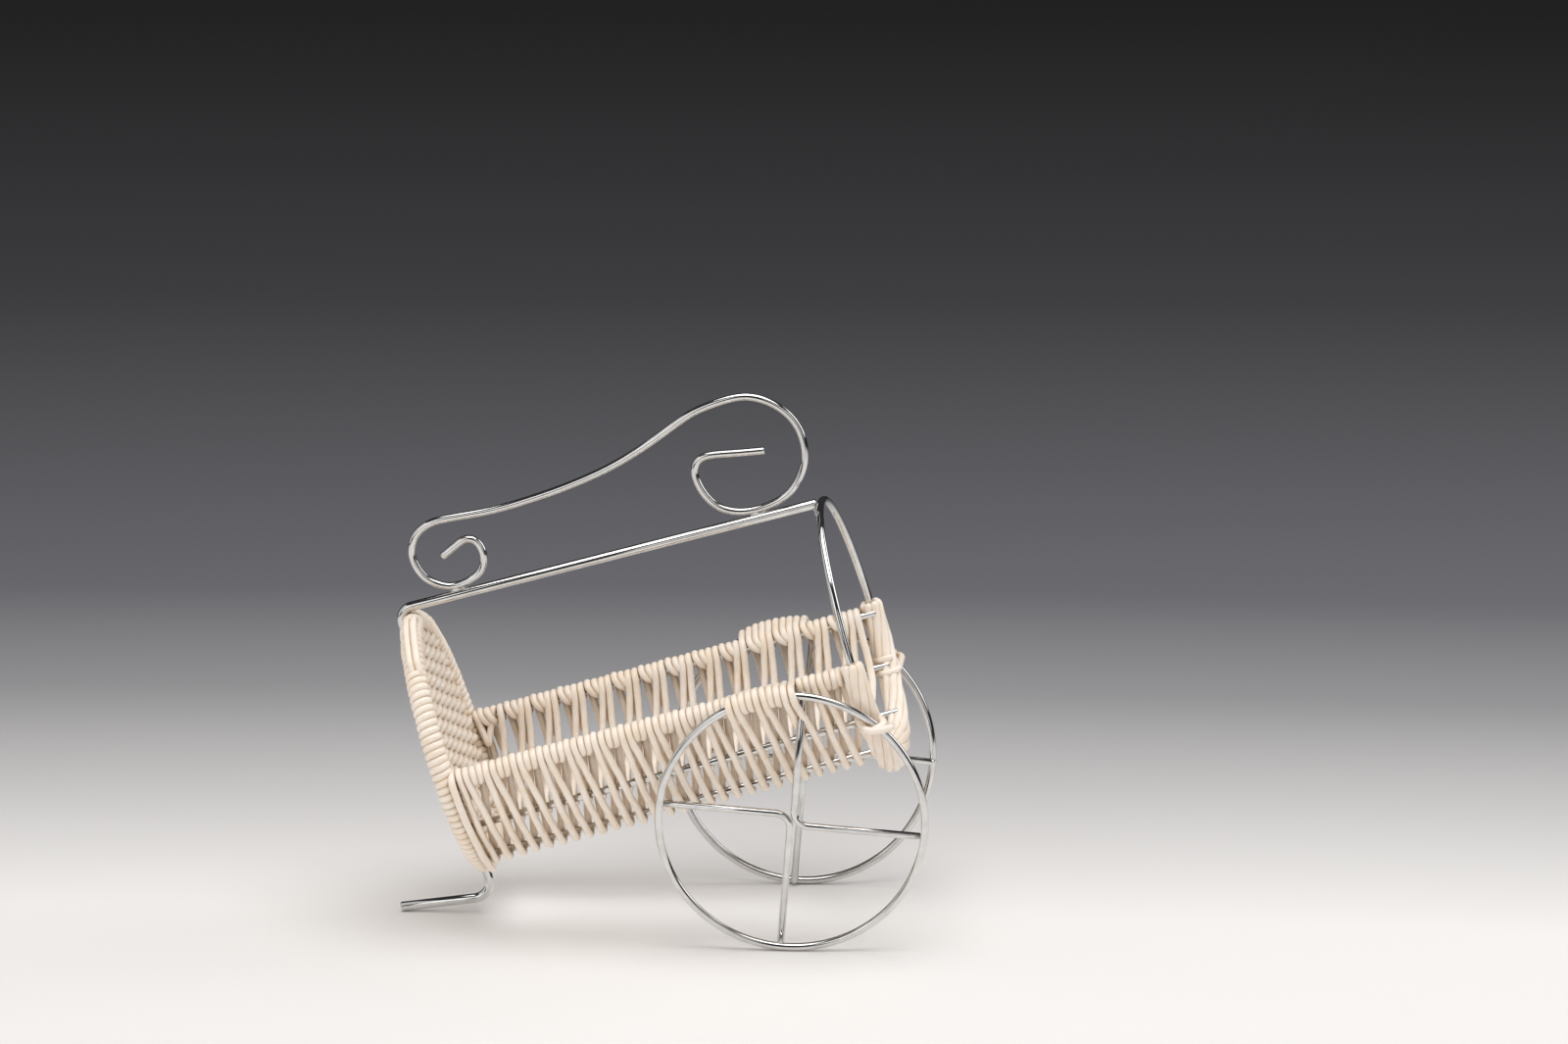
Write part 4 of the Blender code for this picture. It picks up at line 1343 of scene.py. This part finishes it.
class StageLook(bpy.types.PropertyGroup):
    """Floor, lamps and background."""

    # Painted pool of light on the floor: the floor colour near the basket, through the middle
    # colour to the far one
    floor_colour: colour_setting(
        "Floor colour", "Colour of the floor round the basket", (0.85, 0.825, 0.805)
    )
    middle_colour: colour_setting(
        "Middle colour", "Colour of the floor behind the basket", (0.15, 0.15, 0.165)
    )
    far_colour: colour_setting(
        "Far colour", "Colour of the floor far behind the basket", (0.035, 0.033, 0.035)
    )
    lamp_power: FloatProperty(
        name="Lamp power",
        description="Power of which each lamp has a share",
        default=18.2,
        min=0.0,
        unit="POWER",
    )


# Operators


class BASKET_OT_spine(bpy.types.Operator):
    """Makes the spine wire: top bar, leg and tail"""

    bl_idname = "basket.spine"
    bl_label = "Spine Wire"

    def execute(self, context):
        wire_piece("spine", spine_path(), SPINE_WIRE, "spine_wire")
        beads("spine_weld", self.weld_places())
        return {"FINISHED"}

    def weld_places(self):
        """A bead under the bar's end, and smaller ones down the near side of the hoop."""
        front = in_cradle(BAR_FRONT_S + SEAT, 0, BAR_RISE - SPINE_WIRE * WELD_SINK_SHARE)
        down = in_cradle(BAR_FRONT_S, 0, 0) - in_cradle(BAR_FRONT_S, 0, BAR_RISE)
        places = [(front - Vector((0, 0, WELD_DROP)), down, WELD_SIZE)]
        for step in range(WELD_RIPPLES):
            angle = math.pi / 2 + WELD_STEP * (step + 1)
            y, u = oval_point(HOOP_RADIUS, HOOP_RISE, HOOP_FLATTENING, angle)
            place = in_cradle(hoop_s(y, u) - HOOP_WIRE * RIPPLE_OFFSET_SHARE, y, u)
            taper = 1 - step / WELD_RIPPLES / 2
            places.append((place, down, tuple(size * taper for size in RIPPLE_SIZE)))
        return places


class BASKET_OT_scroll_handle(bpy.types.Operator):
    """Makes the scroll handle and its two welds to the bar"""

    bl_idname = "basket.scroll_handle"
    bl_label = "Scroll Handle"

    def execute(self, context):
        wire_piece("scroll", scroll_path(), SCROLL_WIRE, "scroll_handle")
        places = []
        for weld, scroll in ((FRONT_WELD, FRONT_SCROLL), (REAR_WELD, REAR_SCROLL)):
            s = BAR_FRONT_S - weld + SCROLL_WELD_AHEAD_SHARE * scroll
            spot = in_cradle(s, 0, bar_u(s) + (SPINE_WIRE + SEAT) / 2)
            places.append((spot, along_cradle(1), SCROLL_WELD_SIZE))
        beads("scroll_welds", places)
        return {"FINISHED"}


class BASKET_OT_hoop_and_frame(bpy.types.Operator):
    """Makes the front hoop, the back frame and the rails between them"""

    bl_idname = "basket.hoop_and_frame"
    bl_label = "Hoop, Frame and Rails"

    def execute(self, context):
        wire_piece("hoop", hoop_points(), HOOP_WIRE, "front_hoop", closed=True)
        wire_piece("frame", frame_points(), FRAME_WIRE, "back_frame", closed=True)
        for rail, angle in RAIL_ANGLES.items():
            for side_name, side in SIDES.items():
                name = f"{rail}_rail_{side_name}"
                wire_piece(f"{name}_wire", rail_ends(angle, side), RAIL_WIRE, name)
        return {"FINISHED"}


class BASKET_OT_wheels(bpy.types.Operator):
    """Makes both wheels: rings, bent spokes and their welds"""

    bl_idname = "basket.wheels"
    bl_label = "Wheels"

    def execute(self, context):
        for side_name, side in SIDES.items():
            ring = f"wheel_ring_{side_name}"
            points = ring_points(side)
            wire_piece(f"{ring}_wire", points, WHEEL_WIRE, ring, closed=True)
            outward_to_ring = Vector((0, side * (SPOKE_WIRE / 2 + SEAT / 2), 0))
            welds = []
            for spoke, path in spoke_paths(side).items():
                name = f"{spoke}_{side_name}"
                wire_piece(f"{name}_wire", path, SPOKE_WIRE, name)
                for end, before in ((path[0], path[1]), (path[-1], path[-2])):
                    welds.append((end + outward_to_ring, end - before, SPOKE_WELD_SIZE))
            beads(f"wheel_welds_{side_name}", welds)
        return {"FINISHED"}


class BASKET_OT_walls(bpy.types.Operator):
    """Winds the strand of both side walls, and of the stretch over the wheel ring"""

    bl_idname = "basket.walls"
    bl_label = "Side Walls"

    def execute(self, context):
        for side_name, side in SIDES.items():
            self.wind(context.scene.basket_sizes, side_name, side)
        return {"FINISHED"}

    def wind(self, sizes, side_name, side):
        """One wall's strand, from its three stretches."""
        first = -FIRST_PASS_BEHIND_WHEELS
        lead = pair_lead(side)
        stretches = {
            "First wrap": first_wrap_path(side, first),
            "Loop pair": pair_path(side, first, 1),
            "Last pairs": pair_path(side, first + EVEN_PAIRS * lead, LAST_PAIRS),
        }
        lines = {
            label: line_object(f"{label} {side_name}", [path]) for label, path in stretches.items()
        }
        values = {
            **lines,
            "Lead": tuple(along_cradle(lead)),
            "Diameter": sizes.strand,
            "Unevenness": sizes.unevenness,
            "Seed": float(3 + side),
        }
        name = f"wall_winding_{side_name}"
        source = line_object(f"{name}_line", [[Vector(), Vector((0, 0, STRAND))]])
        node = f"wall_strand_{side_name}"
        grown(name, source, "wound wall", values, "cream strand", [node])
        for line in lines.values():
            bpy.data.objects.remove(line, do_unlink=True)


class BASKET_OT_borders(bpy.types.Operator):
    """Winds the strand round the back frame and round the lower part of the hoop"""

    bl_idname = "basket.borders"
    bl_label = "Borders"

    def execute(self, context):
        sizes = context.scene.basket_sizes
        packed = sizes.strand * PACKED
        points = frame_points()
        around = sum((b - a).length for a, b in zip(points, points[1:] + points[:1]))
        rear = line_object("back_border_line", [points], closed=True)
        values = {
            "Wraps": round(around / WRAP_PITCH),
            "Reach": FRAME_WHIP - packed / 2,
            "Diameter": packed,
            "Unevenness": sizes.unevenness,
            "Seed": 7.0,
        }
        grown("back_border", rear, "whipping", values, "cream strand", ["back_whipping"])
        strand_piece("back_strip", strip_paths(), [], seed=9)
        nodes = ["front_whipping"]
        strand_piece("front_border", border_paths(), nodes, seed=8, diameter=packed)
        return {"FINISHED"}


class BASKET_OT_panel(bpy.types.Operator):
    """Weaves the panel that fills the back frame"""

    bl_idname = "basket.panel"
    bl_label = "Woven Panel"

    def execute(self, context):
        woven = (
            ("panel_weavers", weaver_paths(), ["back_panel"], 11, WEAVER),
            ("panel_stakes", stake_paths(), [], 12, STAKE),
        )
        for name, paths, nodes, seed, diameter in woven:
            strand_piece(name, paths, nodes, seed, diameter, "panel strand")
        return {"FINISHED"}


class BASKET_OT_lashings(bpy.types.Operator):
    """Winds the lashing of each wheel ring to the hoop"""

    bl_idname = "basket.lashings"
    bl_label = "Wheel Lashings"

    def execute(self, context):
        for side_name, side in SIDES.items():
            node = f"wheel_lashing_{side_name}"
            path = lashing_path(side)
            strand_piece(f"{node}_strand", [path], [node], seed=20 + side)
        return {"FINISHED"}


# Stage. The floor's colours go by distance from a place in front of the basket, less far
# sideways: a painted pool of light, pale round the basket and fading to dark behind it.
# A lamp is a name, a place, a size and its share of the lamp power.
FLOOR_RADIUS = 9.0
FLOOR_SIDES = 96
FLOOR_ROUGHNESS = 0.65
FLOOR_SHINE = 0.2
PALE_CENTRE = (0, -0.45, 0)
PALE_STRETCH = (0.4, 1, 1)
PALE_TO = 0.46
GREY_AT = 0.78
GREY_SHARE = 0.8
MIDDLE_AT = 0.95
DARK_AT = 1.60
DARK_SHARE = 0.7
FAR_AT = 2.6
LAMPS = (
    ("overhead", (0.1, -0.25, 1.5), 1.3, 0.86),
    ("left_card", (-1.9, -0.2, 0.9), 1.8, 0.36),
    ("front_fill", (-1.1, -1.7, 0.9), 1.4, 0.40),
    ("near_fill", (1.1, -1.9, 0.8), 1.4, 0.22),
    ("far_fill", (1.3, 0.5, 0.8), 1.0, 0.32),
)
LAMP_AIM = Vector((0, 0, 0.08))
AMBIENT = 0.37
CAMERA_TURN = math.radians(2.90)
CAMERA_RISE = math.radians(13.11)
CAMERA_AWAY = 2.485
CAMERA_LENS = 159.742
CAMERA_REACH = 30.0
CAMERA_AIM = Vector((WHEEL_X - 0.00502, 0, 0.14657))


def blended(first, second, share):
    return [a + (b - a) * share for a, b in zip(first, second)]


class BASKET_OT_stage(bpy.types.Operator):
    """Makes the floor, the lamps, the background and the camera"""

    bl_idname = "basket.stage"
    bl_label = "Stage"

    def execute(self, context):
        look = context.scene.stage_look
        self.add_floor(look)
        self.add_lamps(look)
        self.add_world(context, look)
        self.add_camera(context)
        context.scene.view_settings.view_transform = "Standard"
        return {"FINISHED"}

    def add_floor(self, look):
        shell = bmesh.new()
        bmesh.ops.create_circle(shell, cap_ends=True, radius=FLOOR_RADIUS, segments=FLOOR_SIDES)
        mesh = bpy.data.meshes.new("floor")
        shell.to_mesh(mesh)
        shell.free()
        floor = bpy.data.objects.new("floor", mesh)
        bpy.context.scene.collection.objects.link(floor)
        mesh.materials.append(self.floor_finish(look))

    def floor_finish(self, look):
        """Painted pool of light: pale round the basket, and grey, then dark, behind it."""
        material, tree, shader = shader_of("floor")
        place = put(tree, "ShaderNodeTexCoord").outputs["Object"]
        centred = vector_maths(tree, "SUBTRACT", place, PALE_CENTRE)
        centred = vector_maths(tree, "MULTIPLY", centred, PALE_STRETCH)
        away = put(tree, "ShaderNodeVectorMath", {0: centred}, operation="LENGTH").outputs["Value"]
        share = maths(tree, "DIVIDE", away, FAR_AT)
        ramp = put(tree, "ShaderNodeValToRGB", {0: share})
        # Painted pool of light: pale near the basket, fading to dark with distance
        stops = (
            (0.0, look.floor_colour),
            (PALE_TO, look.floor_colour),
            (GREY_AT, blended(look.floor_colour, look.middle_colour, GREY_SHARE)),
            (MIDDLE_AT, look.middle_colour),
            (DARK_AT, blended(look.middle_colour, look.far_colour, DARK_SHARE)),
            (FAR_AT, look.far_colour),
        )
        points = ramp.color_ramp.elements
        while len(points) < len(stops):
            points.new(0.5)
        for point, (distance, colour) in zip(points, stops):
            point.position = distance / FAR_AT
            point.color = (*colour, 1)
        tree.links.new(ramp.outputs[0], shader.inputs["Base Color"])
        shader.inputs["Roughness"].default_value = FLOOR_ROUGHNESS
        shader.inputs["Specular IOR Level"].default_value = FLOOR_SHINE
        return material

    def add_lamps(self, look):
        for name, place, size, share in LAMPS:
            data = bpy.data.lights.new(name, "AREA")
            data.shape = "SQUARE"
            data.size = size
            data.energy = look.lamp_power * share
            lamp = bpy.data.objects.new(name, data)
            lamp.visible_camera = False
            aim = LAMP_AIM - Vector(place)
            lamp.rotation_euler = aim.to_track_quat("-Z", "Y").to_euler()
            lamp.location = place
            bpy.context.scene.collection.objects.link(lamp)

    def add_world(self, context, look):
        world = bpy.data.worlds.new("studio")
        world.use_nodes = True
        tree = world.node_tree
        tree.nodes.clear()
        path = tree.nodes.new("ShaderNodeLightPath").outputs
        seen = maths(tree, "MAXIMUM", path["Is Camera Ray"], path["Is Glossy Ray"])
        seen = maths(tree, "MAXIMUM", seen, path["Is Transmission Ray"])
        white = {"Color": (1, 1, 1, 1), "Strength": AMBIENT}
        ambient = put(tree, "ShaderNodeBackground", white).outputs[0]
        shown = put(tree, "ShaderNodeBackground", {"Color": (*look.far_colour, 1)}).outputs[0]
        either = {0: seen, 1: ambient, 2: shown}
        surface = put(tree, "ShaderNodeMixShader", either).outputs[0]
        put(tree, "ShaderNodeOutputWorld", {"Surface": surface})
        context.scene.world = world

    def add_camera(self, context):
        away = math.cos(CAMERA_RISE)
        x = math.sin(CAMERA_TURN) * away
        y = -math.cos(CAMERA_TURN) * away
        back = Vector((x, y, math.sin(CAMERA_RISE)))
        right = Vector((math.cos(CAMERA_TURN), math.sin(CAMERA_TURN), 0))
        matrix = Matrix((right, back.cross(right), back)).transposed().to_4x4()
        matrix.translation = CAMERA_AIM + back * CAMERA_AWAY
        data = bpy.data.cameras.new("camera")
        data.lens = CAMERA_LENS
        data.clip_end = CAMERA_REACH
        camera = bpy.data.objects.new("camera", data)
        camera.matrix_world = matrix
        context.scene.collection.objects.link(camera)
        context.scene.camera = camera


class BASKET_PT_panel(bpy.types.Panel):
    """Sizes, looks and the basket's piece groups"""

    bl_idname = "BASKET_PT_panel"
    bl_label = "Wine Bottle Basket"
    bl_space_type = "VIEW_3D"
    bl_region_type = "UI"
    bl_category = "Basket"

    def draw(self, context):
        for group in (context.scene.basket_sizes, context.scene.stage_look):
            box = self.layout.box()
            for name in group.__annotations__:
                box.prop(group, name)
        for operator in OPERATORS:
            self.layout.operator(operator.bl_idname)


OPERATORS = (
    BASKET_OT_stage,
    BASKET_OT_spine,
    BASKET_OT_scroll_handle,
    BASKET_OT_hoop_and_frame,
    BASKET_OT_wheels,
    BASKET_OT_walls,
    BASKET_OT_borders,
    BASKET_OT_panel,
    BASKET_OT_lashings,
)
CLASSES = (BasketSizes, StageLook, *OPERATORS, BASKET_PT_panel)


def register():
    for cls in CLASSES:
        bpy.utils.register_class(cls)
    bpy.types.Scene.basket_sizes = PointerProperty(type=BasketSizes)
    bpy.types.Scene.stage_look = PointerProperty(type=StageLook)


def unregister():
    del bpy.types.Scene.stage_look
    del bpy.types.Scene.basket_sizes
    for cls in reversed(CLASSES):
        bpy.utils.unregister_class(cls)


def main():
    register()
    bpy.ops.basket.stage()
    bpy.ops.basket.spine()
    bpy.ops.basket.scroll_handle()
    bpy.ops.basket.hoop_and_frame()
    bpy.ops.basket.wheels()
    bpy.ops.basket.walls()
    bpy.ops.basket.borders()
    bpy.ops.basket.panel()
    bpy.ops.basket.lashings()


if __name__ == "__main__":
    main()
